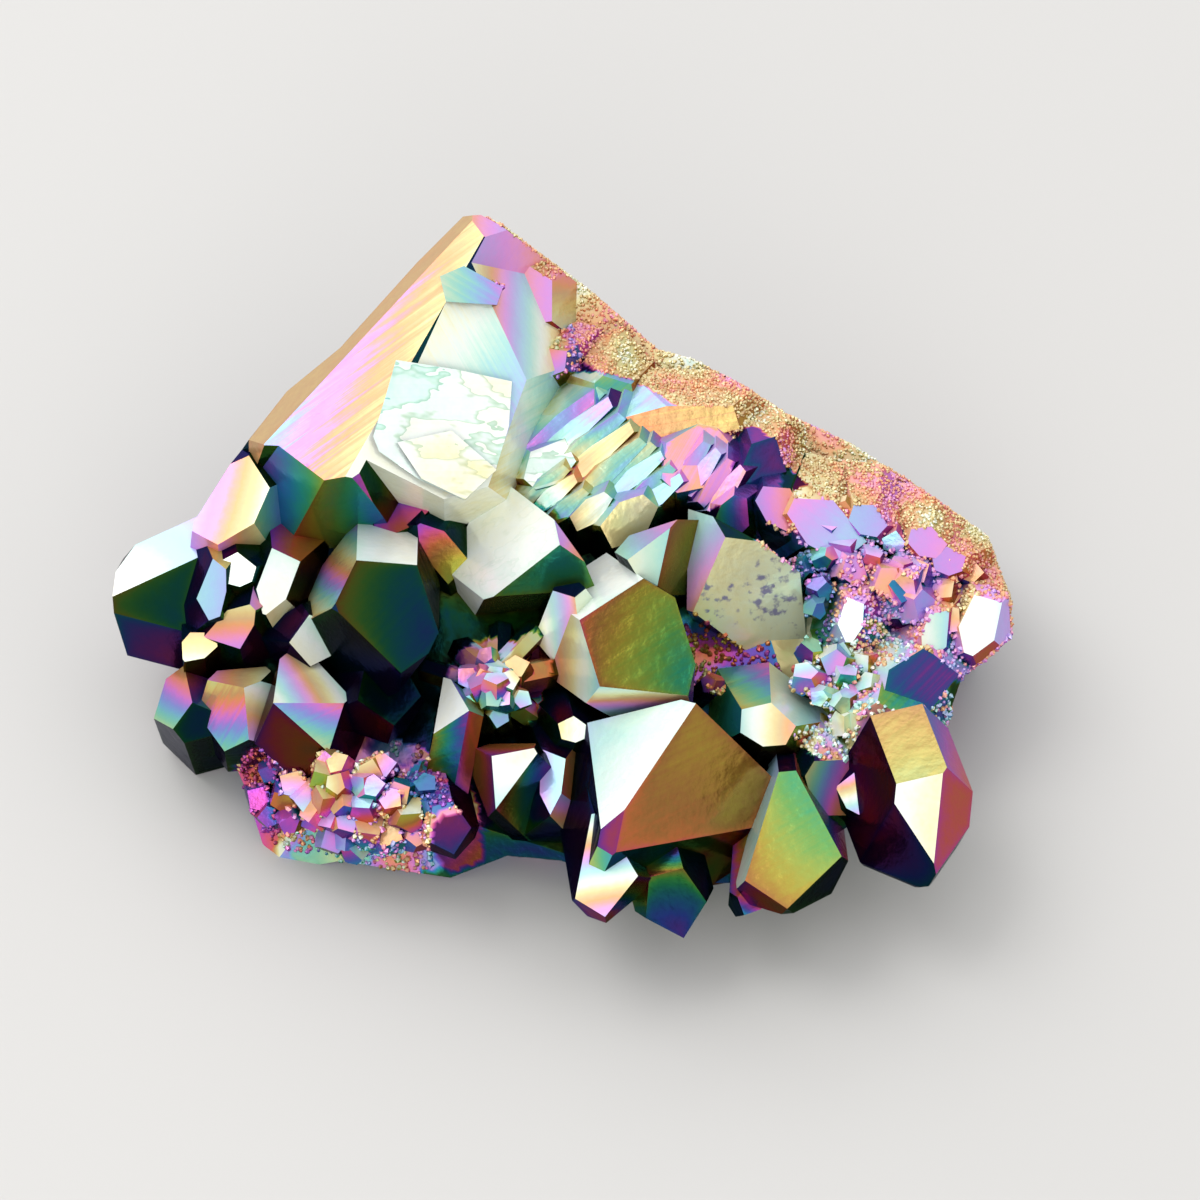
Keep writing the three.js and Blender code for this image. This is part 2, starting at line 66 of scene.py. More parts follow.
def to_growth_face(points):
    """Row-frame metres as millimetres across, up and out of the growth face."""
    return (np.asarray(points) / MM - FACE_ORIGIN) @ GROWTH_AXES.T


def to_row(points):
    """The other way round."""
    return (np.asarray(points) @ GROWTH_AXES + FACE_ORIGIN) * MM


def direction(heading, steep):
    """A unit vector on the growth face's axes: heading 0 to the right, 90 up the face."""
    flat = math.sin(math.radians(steep))
    turn = math.radians(heading)
    return np.array([flat * math.cos(turn), flat * math.sin(turn), math.cos(math.radians(steep))])


def triangle_normals(points, triangles):
    a, b, c = (points[triangles[:, k]] for k in range(3))
    normals = np.cross(b - a, c - a)
    length = np.linalg.norm(normals, axis=1, keepdims=True)
    return normals / np.maximum(length, 1e-12)


def welded(obj):
    """The solid's corners in growth-face millimetres, each once, and its triangles."""
    mesh = obj.data
    mesh.calc_loop_triangles()
    raw = np.array([v.co for v in mesh.vertices])
    corners, same = np.unique(np.round(to_growth_face(raw), 4), axis=0, return_inverse=True)
    triangles = same.reshape(-1)[np.array([t.vertices[:] for t in mesh.loop_triangles])]
    whole = (triangles[:, 0] != triangles[:, 1]) & (triangles[:, 1] != triangles[:, 2])
    whole &= triangles[:, 0] != triangles[:, 2]
    return corners, triangles[whole]


def faces_of(points, triangles):
    """Numbers the crystal faces: triangles that share an edge and lie in one plane are one face."""
    normals = triangle_normals(points, triangles)
    beside = {}
    face = np.arange(len(triangles))

    def root(k):
        while face[k] != k:
            face[k] = face[face[k]]
            k = face[k]
        return k

    for k, triangle in enumerate(triangles):
        for i in range(3):
            edge = tuple(sorted((triangle[i], triangle[(i + 1) % 3])))
            other = beside.setdefault(edge, k)
            if other != k and normals[k] @ normals[other] > SAME_FLAT:
                face[root(k)] = root(other)
    return np.array([root(k) for k in range(len(triangles))])


def finer(points, triangles, face, longest):
    """Splits triangles at the middle of their long edges until none is longer than it may be there."""
    for _ in range(MOST_SPLITS):
        edges = np.sort(np.stack([triangles, np.roll(triangles, -1, axis=1)], axis=2), axis=2)
        pairs, edge_of = np.unique(edges.reshape(-1, 2), axis=0, return_inverse=True)
        edge_of = edge_of.reshape(-1, 3)
        length = np.linalg.norm(points[pairs[:, 0]] - points[pairs[:, 1]], axis=1)
        middle = points[pairs].mean(axis=1)
        allowed = np.full(len(pairs), BASE_GRAIN)
        np.minimum.at(allowed, edge_of, longest(points[triangles].mean(axis=1), face)[:, None])
        too_long = length > allowed
        is_longest = np.zeros(len(pairs), bool)
        rows = np.arange(len(triangles))
        is_longest[edge_of[rows, length[edge_of].argmax(axis=1)]] = True
        split = too_long & is_longest
        if not split.any():
            break
        new_corner = np.full(len(pairs), -1)
        new_corner[split] = len(points) + np.arange(split.sum())
        points = np.concatenate([points, middle[split]])
        out, out_face = [], []
        cut = new_corner[edge_of]
        order = np.argsort(-np.where(cut >= 0, length[edge_of], -1), axis=1)[:, 0]
        turn = (order[:, None] + np.arange(3)) % 3
        corners = np.take_along_axis(triangles, turn, axis=1)
        cuts = np.take_along_axis(cut, turn, axis=1)
        a, b, c = corners.T
        ab, bc, ca = cuts.T
        none = ab < 0
        out.append(corners[none])
        out_face.append(face[none])
        for has_bc, has_ca in ((0, 0), (1, 0), (0, 1), (1, 1)):
            rows = (ab >= 0) & ((bc >= 0) == bool(has_bc)) & ((ca >= 0) == bool(has_ca))
            if has_bc:
                pieces = [(ab, b, bc), (ab, bc, c)]
            else:
                pieces = [(ab, b, c)]
            if has_ca:
                pieces += [(ab, c, ca), (ab, ca, a)]
            else:
                pieces += [(ab, c, a)]
            for piece in pieces:
                out.append(np.stack(piece, axis=1)[rows])
                out_face.append(face[rows])
        triangles = np.concatenate(out)
        face = np.concatenate(out_face)
    return points, triangles, face


def grain_at(middle, face):
    """The growth face is looked at closely, the broken back less so, and the base not at all."""
    above_back = middle[:, 2] > 6 - 0.75 * middle[:, 1]
    looks_out = solid_normals[face][:, 2] > -0.05
    on_base = to_row(middle)[:, 2] < 0.05 * MM
    return np.where(on_base, BASE_GRAIN, np.where(above_back & looks_out, FRONT_GRAIN, BACK_GRAIN))


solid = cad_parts["quartz_cluster"]
solid_points, solid_triangles = welded(solid)
solid_faces = faces_of(solid_points, solid_triangles)
solid_tree = BVHTree.FromPolygons(solid_points.tolist(), solid_triangles.tolist())
solid_normals = triangle_normals(solid_points, solid_triangles)

points, triangles, face = finer(solid_points, solid_triangles, solid_faces, grain_at)
print("quartz mesh", len(points), len(triangles))

# Film thickness on a face, as turns through the colours below. Each colour is named by how it looks.
GOLD, YELLOW, WHITE, MINT, GREEN, TEAL, BLUE = 0.0, 0.12, 0.24, 0.32, 0.38, 0.47, 0.57
LILAC, PURPLE, PINK, RED, ORANGE = 0.64, 0.71, 0.77, 0.85, 0.93
# How strongly a face is lined, how strongly it broke in ledges, and how much dust lies on it.
MIRROR, ETCHED, RIBBED, STRIPED = (0.0, 0.0, 0.0), (0.15, 0.0, 0.0), (0.5, 0.0, 0.0), (1.0, 0.0, 0.0)
LEDGED, CRACKED, DUSTY = (0.1, 1.0, 0.0), (0.05, 0.2, 0.0), (0.05, 0.0, 1.0)
BROKEN = (0.0, 0.5, 0.45)
OUTWARD = np.array([0.0, 0.0, 1.0])  # striae that cross this way run round a steep face

# The faces that a buyer would point at: where each is on the growth face (mm across and up), its
# colour there, how pale it is (painted light: near 1 a painted highlight, near 0 painted shade), the
# heading and turns per mm in which the film thickens, its finish and the heading of its striae.
FILMS = [
    # the big broken crystal
    (-14.0, 13.0, PINK + 0.03, 0.8, 332, 0.085, STRIPED, 35),
    (-13.9, 15.8, GOLD + 0.01, 0.72, 0, 0.0, ETCHED, 45),
    (-20.3, 8.3, GOLD, 0.65, 0, 0.0, ETCHED, 45),
    (-7.3, 11.7, MINT - 0.03, 0.95, 0, 0.0, LEDGED, 0),
    (-8.0, 7.5, WHITE - 0.03, 0.95, 90, 0.02, LEDGED, 0),
    (-7.0, 16.0, MINT, 0.95, 20, 0.01, LEDGED, 0),
    (-8.8, 15.3, WHITE, 1.0, 0, 0.0, MIRROR, 0),
    (-5.3, 5.3, WHITE - 0.03, 0.92, 0, 0.0, CRACKED, 0),
    (-4.6, 6.4, WHITE, 0.92, 0, 0.0, CRACKED, 0),
    (-12.3, 8.6, WHITE - 0.05, 0.95, 0, 0.0, MIRROR, 0),
    (-12.6, 7.3, YELLOW, 0.9, 0, 0.0, MIRROR, 0),
    (-11.7, 6.9, WHITE - 0.05, 0.9, 0, 0.0, MIRROR, 0),
    (-3.0, 12.0, PINK, 0.9, 90, 0.05, MIRROR, 0),
    (-2.6, 10.4, BLUE - 0.05, 0.9, 0, 0.1, MIRROR, 0),
    (-2.6, 8.3, WHITE, 0.85, 0, 0.1, MIRROR, 0),
    (-2.0, 11.8, MINT, 0.85, 0, 0.1, RIBBED, 30),
    (-6.0, 19.1, TEAL, 0.75, 0, 0.1, RIBBED, 150),
    (-4.5, 14.8, MINT + 0.06, 0.9, 330, 0.05, RIBBED, 300),
    (-5.5, 20.8, LILAC, 0.8, 0, 0.05, MIRROR, 0),
    (-4.9, 23.3, PINK, 0.85, 0, -0.1, MIRROR, 0),
    (-1.3, 19.0, PINK - 0.02, 0.85, 0, -0.06, MIRROR, 0),
    (0.3, 18.5, GOLD + 0.05, 0.7, 270, 0.1, ETCHED, 30),
    (-1.2, 14.1, WHITE, 0.9, 0, -0.2, MIRROR, 0),
    (-19.5, 6.8, TEAL, 0.5, 0, 0.3, RIBBED, 80),
    (-19.4, 4.6, TEAL, 0.6, 0, 0.15, MIRROR, 0),
    (-17.6, 5.0, TEAL, 0.45, 0, -0.1, MIRROR, 0),
    (-15.5, 5.0, GREEN - 0.04, 0.5, 0, 0.08, MIRROR, 0),
    (-13.3, 4.7, TEAL, 0.3, 0, 0.1, MIRROR, 0),
    (-13.2, 6.0, PINK, 0.4, 0, 0.1, MIRROR, 0),
    (-21.9, 4.5, ORANGE - 0.02, 0.85, 345, 0.14, MIRROR, 0),
    (-10.3, 3.9, RED, 0.5, 300, 0.12, MIRROR, 0),
    (-8.3, 2.2, ORANGE, 0.5, 300, 0.12, MIRROR, 0),
    # the left end
    (-27.3, 0.7, MINT + 0.04, 0.95, 50, 0.06, MIRROR, 0),
    (-26.3, -2.0, GREEN, 0.02, 330, 0.045, MIRROR, 0),
    (-28.0, -4.7, PURPLE, 0.05, 300, 0.05, MIRROR, 0),
    (-24.1, 0.0, PURPLE, 0.05, 0, 0.05, MIRROR, 0),
    (-24.4, -2.7, PURPLE, 0.05, 0, 0.05, MIRROR, 0),
    (-24.0, 2.2, PINK, 0.75, 0, 0.1, MIRROR, 0),
    (-22.7, 1.1, YELLOW, 0.6, 0, 0.1, MIRROR, 0),
    (-21.1, 2.4, GOLD, 0.75, 0, 0.15, MIRROR, 0),
    (-18.0, 2.1, ORANGE, 0.45, 0, 0.1, MIRROR, 0),
    (-23.1, -1.1, BLUE - 0.04, 0.8, 0, 0.05, MIRROR, 0),
    (-21.4, 0.3, WHITE, 0.95, 270, 0.05, MIRROR, 0),
    (-19.0, -0.3, WHITE, 0.95, 270, -0.03, MIRROR, 0),
    (-18.7, -2.5, YELLOW, 0.85, 0, 0.05, MIRROR, 0),
    (-20.2, -1.8, PINK, 0.8, 0, 0.2, MIRROR, 0),
    (-21.7, -3.4, ORANGE, 0.75, 90, 0.15, MIRROR, 0),
    (-24.3, -4.8, YELLOW - 0.03, 0.8, 270, 0.12, MIRROR, 0),
    (-20.4, -5.0, RED, 0.03, 0, 0.05, MIRROR, 0),
    (-18.5, -5.1, PURPLE, 0.03, 0, 0.05, MIRROR, 0),
    (-18.2, -3.3, PURPLE, 0.03, 0, 0.05, MIRROR, 0),
    (-25.9, -8.0, LILAC + 0.06, 0.62, 60, 0.2, MIRROR, 0),
    (-24.2, -7.6, PINK, 0.3, 130, 0.2, MIRROR, 0),
    (-24.4, -9.9, TEAL, 0.0, 0, 0.07, MIRROR, 0),
    (-25.9, -11.3, TEAL, 0.0, 0, 0.05, MIRROR, 0),
    (-23.9, -12.1, GREEN, 0.02, 0, 0.05, MIRROR, 0),
    (-22.7, -11.9, PURPLE, 0.02, 0, 0.05, MIRROR, 0),
    (-21.3, -6.8, GOLD, 0.75, 0, 0.12, MIRROR, 0),
    (-20.3, -8.0, WHITE - 0.04, 0.95, 60, 0.2, MIRROR, 0),
    (-22.2, -9.3, PINK, 0.62, 95, 0.17, RIBBED, 60),
    (-19.4, -8.6, ORANGE, 0.05, 0, 0.1, MIRROR, 0),
    (-18.1, -11.2, ORANGE, 0.02, 0, 0.05, MIRROR, 0),
    # lower left, pointing left
    (-17.1, -7.2, PINK + 0.04, 0.95, 34, 0.3, MIRROR, 0),
    (-16.5, -5.5, WHITE - 0.04, 0.95, 34, 0.1, MIRROR, 0),
    (-16.3, -9.6, BLUE, 0.65, 250, -0.2, RIBBED, 25),
    (-14.5, -10.5, RED, 0.03, 0, 0.05, MIRROR, 0),
    # large dark one left of the middle
    (-12.0, 2.0, WHITE + 0.03, 1.0, 200, 0.02, MIRROR, 0),
    (-15.5, 0.2, PINK, 0.7, 60, 0.25, RIBBED, 30),
    (-10.5, -3.3, GREEN + 0.06, 0.03, 350, 0.07, ETCHED, 45),
    (-13.6, -5.2, TEAL + 0.03, 0.0, 300, 0.06, MIRROR, 0),
    (-14.0, -7.3, PURPLE, 0.0, 0, 0.05, MIRROR, 0),
    (-10.1, -6.5, PURPLE, 0.0, 0, 0.05, MIRROR, 0),
    (-11.5, -8.3, TEAL, 0.0, 0, 0.05, MIRROR, 0),
    (-10.3, -9.6, PURPLE, 0.0, 0, 0.05, MIRROR, 0),
    (-12.8, -9.8, RED, 0.02, 0, 0.05, MIRROR, 0),
    # the middle
    (-7.2, -8.7, WHITE, 1.0, 0, 0.02, MIRROR, 0),
    (-7.5, -11.6, GREEN + 0.04, 0.25, 0, 0.25, RIBBED, 20),
    (-6.1, -11.6, ORANGE, 0.25, 0, 0.2, MIRROR, 0),
    (-3.0, 2.3, WHITE + 0.03, 1.0, 0, 0.0, CRACKED, 0),
    (-6.2, -1.2, WHITE, 1.0, 0, 0.0, MIRROR, 0),
    (0.5, 2.1, PINK, 0.8, 0, 0.15, MIRROR, 0),
    (-0.6, 0.0, GREEN, 0.28, 90, 0.03, MIRROR, 0),
    (-3.2, -1.9, YELLOW + 0.1, 0.15, 0, 0.05, MIRROR, 0),
    (0.2, -3.5, LILAC - 0.06, 1.0, 5, 0.3, MIRROR, 0),
    (1.1, -5.0, WHITE - 0.08, 0.85, 0, 0.2, MIRROR, 0),
    (1.5, -1.6, WHITE, 0.8, 0, 0.05, MIRROR, 0),
    (3.3, -0.5, WHITE + 0.03, 1.0, 0, 0.0, MIRROR, 0),
    (5.2, -4.5, YELLOW + 0.06, 0.2, 345, 0.055, ETCHED, 30),
    (4.6, -8.3, ORANGE, 0.8, 90, 0.5, ETCHED, 5),
    (8.7, -7.5, PURPLE, 0.3, 0, 0.05, MIRROR, 0),
    (0.9, -10.2, WHITE - 0.06, 0.85, 0, 0.1, MIRROR, 0),
    # lower middle
    (-3.3, -13.0, WHITE, 1.0, 90, -0.06, MIRROR, 0),
    (-3.6, -11.5, ORANGE, 0.45, 90, 0.35, MIRROR, 0),
    (-5.0, -13.6, ORANGE, 0.25, 180, 0.25, MIRROR, 0),
    (-2.4, -14.6, GREEN, 0.15, 0, 0.25, RIBBED, 60),
    (-0.5, -13.7, BLUE - 0.04, 0.85, 0, -0.2, MIRROR, 0),
    (0.0, -15.6, PINK + 0.05, 0.8, 90, -0.2, MIRROR, 0),
    (0.6, -13.3, GOLD, 0.55, 0, 0.2, MIRROR, 0),
    (-3.5, -16.8, TEAL, 0.0, 0, 0.05, MIRROR, 0),
    # largest, at the front
    (4.7, -11.7, MINT + 0.01, 1.0, 320, -0.04, MIRROR, 0),
    (8.8, -14.1, GOLD + 0.02, 0.34, 60, 0.01, ETCHED, 25),
    (1.5, -15.2, PURPLE + 0.05, 0.25, 180, 0.15, RIBBED, 80),
    (3.4, -17.1, RED, 0.2, 0, 0.1, MIRROR, 0),
    (2.6, -18.9, MINT, 0.55, 0, 0.2, MIRROR, 0),
    (8.7, -18.3, TEAL, 0.04, 90, 0.25, RIBBED, 5),
    (11.5, -9.6, TEAL, 0.5, 0, 0.1, MIRROR, 0),
    # lowest, at the front
    (3.0, -20.5, YELLOW + 0.02, 0.95, 100, 0.27, MIRROR, 0),
    (4.7, -21.2, GREEN, 0.1, 80, -0.4, RIBBED, 5),
    (5.4, -21.6, GREEN - 0.1, 0.12, 80, -0.3, RIBBED, 5),
    (5.3, -19.4, GREEN, 0.15, 80, 0.4, RIBBED, 5),
    (7.0, -19.0, GREEN, 0.12, 85, 0.45, RIBBED, 5),
    (2.0, -22.2, PINK + 0.04, 0.15, 0, 0.1, MIRROR, 0),
    (1.0, -19.1, PURPLE, 0.02, 0, 0.05, MIRROR, 0),
    (7.6, -21.6, TEAL, 0.0, 90, -0.12, MIRROR, 0),
    (9.2, -19.6, TEAL, 0.0, 0, 0.05, MIRROR, 0),
    # front right
    (15.2, -17.8, YELLOW + 0.08, 0.52, 40, 0.05, ETCHED, 30),
    (13.2, -16.0, TEAL - 0.06, 0.85, 0, 0.1, MIRROR, 0),
    (17.8, -16.5, BLUE, 0.35, 0, 0.3, MIRROR, 0),
    (17.3, -20.6, GREEN + 0.02, 0.0, 0, 0.04, MIRROR, 0),
    (13.2, -21.4, ORANGE, 0.08, 0, 0.1, MIRROR, 0),
    (11.8, -19.2, ORANGE, 0.4, 0, 0.4, RIBBED, 20),
    (12.5, -21.9, PINK, 0.4, 60, 0.4, RIBBED, 20),
    (11.6, -21.9, TEAL, 0.02, 0, 0.1, MIRROR, 0),
    (17.6, -13.9, BLUE, 0.6, 340, 0.25, MIRROR, 0),
    (19.5, -14.8, WHITE, 0.95, 110, -0.4, MIRROR, 0),
    (19.2, -15.8, TEAL, 0.02, 0, 0.1, MIRROR, 0),
    (23.0, -11.3, YELLOW - 0.02, 0.6, 285, 0.03, ETCHED, 40),
    (23.9, -15.5, YELLOW + 0.03, 0.97, 180, 0.03, MIRROR, 0),
    (22.5, -18.3, PURPLE, 0.0, 320, -0.06, MIRROR, 0),
    (20.8, -16.8, RED, 0.02, 0, 0.02, MIRROR, 0),
    (25.9, -16.0, RED + 0.04, 0.3, 0, 0.02, MIRROR, 0),
    (25.8, -11.4, PINK, 0.5, 0, 0.1, MIRROR, 0),
    # right of the front points
    (13.7, -10.1, YELLOW, 0.95, 0, -0.15, MIRROR, 0),
    (15.5, -8.3, MINT, 0.85, 0, 0.12, MIRROR, 0),
    (12.6, -7.2, TEAL, 0.6, 60, 0.2, RIBBED, 20),
    (24.1, -6.8, PURPLE - 0.06, 0.2, 0, 0.03, RIBBED, 45),
    (22.3, -8.3, GREEN, 0.45, 0, 0.08, RIBBED, 45),
    # upper right
    (13.2, -1.4, YELLOW + 0.07, 0.77, 0, 0.014, DUSTY, 0),
    (15.3, -5.2, YELLOW, 0.8, 0, 0.05, MIRROR, 0),
    (9.8, 0.3, PINK - 0.03, 0.9, 135, -0.12, MIRROR, 0),
    (16.3, -1.7, TEAL, 0.5, 0, 0.05, RIBBED, 100),
    (8.4, 2.2, YELLOW + 0.03, 0.28, 330, 0.1, MIRROR, 0),
    (6.3, 1.3, MINT + 0.03, 0.8, 0, 0.08, MIRROR, 0),
    (5.4, 2.4, BLUE, 0.8, 30, 0.1, MIRROR, 0),
    (4.6, 3.6, YELLOW + 0.02, 0.75, 0, 0.02, MIRROR, 0),
    (-0.8, 7.3, WHITE, 1.0, 0, 0.0, LEDGED, 0),
    (2.1, 4.6, YELLOW + 0.03, 0.9, 0, 0.1, RIBBED, 40),
    (14.4, 4.4, PINK, 0.75, 0, 0.1, MIRROR, 0),
    (11.4, 4.3, BLUE, 0.5, 0, 0.2, MIRROR, 0),
    (3.7, 12.0, PURPLE, 0.1, 0, 0.05, MIRROR, 0),
    (8.4, 10.5, GOLD + 0.02, 0.62, 0, 0.02, RIBBED, 10),
    (13.5, 6.6, PURPLE - 0.04, 0.15, 0, 0.05, MIRROR, 0),
    (17.4, 3.5, LILAC, 0.85, 320, -0.05, ETCHED, 325),
    (20.5, 3.7, BLUE + 0.03, 0.8, 0, 0.05, MIRROR, 0),
    (24.4, 2.1, LILAC + 0.08, 0.8, 0, 0.03, MIRROR, 0),
    (26.0, 0.8, LILAC + 0.05, 0.75, 0, 0.03, MIRROR, 0),
    (22.9, -1.5, BLUE - 0.02, 0.45, 0, 0.05, MIRROR, 0),
    (25.0, -3.8, MINT, 0.9, 0, 0.15, MIRROR, 0),
    (27.9, -3.3, WHITE, 1.0, 0, 0.05, MIRROR, 0),
    (29.5, -3.2, LILAC, 0.8, 0, 0.05, MIRROR, 0),
    (19.4, -3.0, MINT, 0.95, 0, 0.05, MIRROR, 0),
    # the lower left edge
    (-17.8, -13.6, RED, 0.95, 90, 0.25, MIRROR, 0),
    (-17.2, -14.2, PINK, 0.95, 90, 0.25, MIRROR, 0),
    (-17.0, -14.9, LILAC, 0.95, 90, 0.25, MIRROR, 0),
    (-6.2, -16.2, RED, 0.05, 0, 0.1, MIRROR, 0),
]

FROM_ABOVE = 60.0  # start of a look straight on to the growth face, mm


def looked_at(across, up):
    """The solid's face that shows at a place on the growth face."""
    start = Vector((across, up, FROM_ABOVE))
    hit = solid_tree.ray_cast(start, Vector((0, 0, -1)))
    return hit[2]


# Patches of the growth face where no face stands out: middle, reach and turn of each oval (mm and
# degrees), its colour, how far it drifts from that, how pale it is (painted light, raised or lowered
# on each face by how it turns to the light), the size of the grains that cover it (none where 0), and
# the finish and striae of what lies bare.
Patch = namedtuple("Patch", "across up long wide turn film spread pale grain finish striae")
PATCHES = [Patch(*row) for row in (
    (13.2, 7.0, 1.6, 3.0, 10, PURPLE, 0.1, 0.32, 0.0, MIRROR, 0),
    (9.6, 7.2, 2.8, 2.8, 0, PINK - 0.02, 0.16, 0.9, 0.0, RIBBED, 60),
    (12.0, -4.2, 4.5, 2.3, -20, RED, 0.2, 0.5, 0.3, MIRROR, 0),  # the crevice under the dusty point
    (10.3, -7.2, 2.2, 2.8, 0, PINK, 0.3, 0.6, 0.3, MIRROR, 0),
    (-4.8, -9.4, 2.8, 1.3, 0, TEAL + 0.02, 0.16, 0.8, 0.0, MIRROR, 0),  # the ball, its lower side
    (-1.9, -6.0, 1.4, 2.2, 0, YELLOW, 0.14, 0.8, 0.0, MIRROR, 0),  # its right side
    (-5.9, -6.6, 1.5, 1.8, 0, PINK, 0.2, 0.8, 0.0, MIRROR, 0),  # its left side
    (-4.3, -7.4, 3.2, 3.2, 0, 0.2, 0.9, 1.0, 0.0, MIRROR, 0),  # and its middle
    (-20.2, -15.5, 1.7, 4.0, 0, PURPLE + 0.05, 0.14, 0.5, 0.32, MIRROR, 0),  # the lower left edge
    (-15.2, -18.4, 2.8, 1.4, 0, BLUE, 0.3, 0.8, 0.3, MIRROR, 0),
    (-8.4, -14.0, 1.9, 1.8, 0, BLUE, 0.2, 0.55, 0.3, MIRROR, 0),
    (-6.8, -17.8, 1.8, 2.0, 0, RED, 0.2, 0.1, 0.0, MIRROR, 0),
    (-2.4, -18.3, 4.6, 2.0, 0, GREEN, 0.2, 0.04, 0.0, MIRROR, 0),
    (-14.0, -15.5, 8.6, 5.0, -5, 0.88, 0.4, 0.85, 0.32, MIRROR, 0),
    (3.0, 8.2, 7.0, 5.2, -20, MINT + 0.06, 0.34, 0.82, 0.0, RIBBED, 40),  # where a crystal was torn away
    (-1.8, 16.0, 4.5, 2.6, -60, 0.9, 0.3, 0.75, 0.28, MIRROR, 0),
    (5.0, 16.2, 13.0, 3.6, -42, 0.97, 0.16, 0.92, 0.22, MIRROR, 0),  # the broken rim, upper part
    (22.0, 6.2, 13.0, 3.2, -33, 0.94, 0.18, 0.92, 0.22, MIRROR, 0),  # and lower part
    (16.8, -1.8, 1.5, 3.6, 0, TEAL, 0.14, 0.65, 0.3, MIRROR, 0),
    (20.0, -8.0, 6.5, 5.0, -30, 0.35, 0.6, 1.0, 0.3, MIRROR, 0),
    (22.0, -0.5, 9.5, 6.0, -25, 0.77, 0.24, 0.97, 0.3, MIRROR, 0),  # the right end
)]


def patch_at(across, up):
    """The patch that a place lies on, or None between the points."""
    for patch in PATCHES:
        turn = math.radians(patch.turn)
        dx, dy = across - patch.across, up - patch.up
        along = dx * math.cos(turn) + dy * math.sin(turn)
        beside = dy * math.cos(turn) - dx * math.sin(turn)
        if (along / patch.long) ** 2 + (beside / patch.wide) ** 2 < 1:
            return patch
    return None


WAVES = np.array([[1.9, 0.7, 1.3], [-1.1, 2.3, 0.4], [0.5, -1.7, 2.1], [3.1, 1.2, -0.9], [-2.4, 2.9, 1.8]])


def rolling(where, scale):
    """Smooth uneven height from -1 to 1, with hills about scale mm apart."""
    height = np.zeros(len(where))
    for k, wave in enumerate(WAVES):
        height += np.sin(where @ wave * (2.4 / scale) + 1.7 * k)
    return height / len(WAVES)


ROCK_BELOW, ROCK_FALL = 5.0, 0.6  # mm out of the growth face, and what that loses per mm up the face
ROCK_LEAST, ROCK_BEHIND = -1.0, 6.0  # and at the least, and on the walls that lean back
ROCK_WAVER = 2.2
SOLE = 0.99  # a face that looks down as straight as this is the cut base


def broken_off(places, normals):
    """Which places lie on the walls where the cluster was broken out of the rock."""
    level = np.maximum(ROCK_BELOW - ROCK_FALL * places[:, 1], ROCK_LEAST)
    level[(normals[:, 2] < -0.2) & (places[:, 1] > 0)] = ROCK_BEHIND
    below = places[:, 2] + ROCK_WAVER * rolling(places, 5.0) < level
    steep = (normals[:, 2] < 0.25) & ((normals @ GROWTH_AXES)[:, 2] > -SOLE)
    return below & steep


SMALL_POINT = 2.5  # area of a face, mm2, below which it belongs to a small point with one film all over
# where the painted light comes from: faces turned toward it are painted paler (painted highlight), faces
# turned away deeper (painted shade)
TOWARD_LIGHT = direction(115, 38)
PRISM_STEEP = 66  # degrees; the sides of a crystal are steeper than this and carry striae
chance = random.Random(7)


def unnamed(place, normal, dice, rock):
    """Film, drift, paleness (painted light and painted shade, by how the face turns to the light), finish and
    striae where no face has a name.
    """
    if rock:
        return LILAC + 0.16 * (dice - 0.5), 0.12, 0.14, BROKEN, OUTWARD
    # paleness below is painted light: faces turned toward the light are painted paler (painted highlight),
    # the others deeper (painted shade), and faces looking straight out of the growth face are painted deep
    lit = float(normal @ TOWARD_LIGHT)
    patch = patch_at(*place[:2]) if normal[2] > -0.1 else None
    if patch:
        film = patch.film + patch.spread * (dice - 0.5)
        pale = patch.pale * min(1.0, max(0.3, 0.6 + 0.9 * (lit - 0.35)))
        return film, patch.spread, pale, patch.finish, direction(patch.striae + 90, 90)
    heading = math.degrees(math.atan2(normal[1], normal[0]))
    steepness = math.degrees(math.acos(max(-1.0, min(1.0, normal[2]))))
    film = 0.5 + 0.2 * math.sin(math.radians(heading - 40)) + 0.3 * (dice - 0.5)
    pale = 0.04 if normal[2] > 0.3 else min(1.0, max(0.02, 0.9 * (lit - 0.6)))
    return film, 0.05, pale, RIBBED if steepness > PRISM_STEEP else MIRROR, OUTWARD


face_film, face_drift, face_pale, face_toward = {}, {}, {}, {}
face_finish, face_striae, face_at, face_normal, face_dice, broad_faces = {}, {}, {}, {}, {}, set()
for number in np.unique(solid_faces):
    members = solid_faces == number
    normal = solid_normals[members][0]
    corners = solid_points[solid_triangles[members]]
    edges = corners[:, 1:] - corners[:, :1]
    if np.linalg.norm(np.cross(edges[:, 0], edges[:, 1]), axis=1).sum() / 2 > SMALL_POINT:
        broad_faces.add(number)
    face_at[number] = corners.reshape(-1, 3).mean(axis=0)
    face_normal[number] = normal
    face_dice[number] = chance.random()
    (face_film[number], face_drift[number], face_pale[number], face_finish[number],
     face_striae[number]) = unnamed(face_at[number], normal, face_dice[number],
                                    broken_off(face_at[number][None], normal[None])[0])
    face_toward[number] = 0.04 * direction(360 * chance.random(), 70)

named_faces = set()
for across, up, film, pale, heading, turns, finish, striae in FILMS:
    hit = looked_at(across, up)
    if hit is None:
        continue
    number = solid_faces[hit]
    named_faces.add(number)
    face_at[number] = np.array([across, up, 0.0])
    face_film[number] = film
    face_drift[number] = 0.0
    face_pale[number] = pale
    face_toward[number] = turns * direction(heading, 90)
    face_finish[number] = finish
    face_striae[number] = direction(striae + 90, 90)

# ---- how sheltered each corner is, which thins the film and is painted as shade in the crevices
SHELTER_REACH = 6.0  # mm
SKY = 44


def spread_directions(count):
    """Directions spread evenly all round."""
    k = np.arange(count) + 0.5
    z = 1 - 2 * k / count
    turn = math.pi * (1 + math.sqrt(5)) * k
    ring = np.sqrt(1 - z * z)
    return np.stack([ring * np.cos(turn), ring * np.sin(turn), z], axis=1)


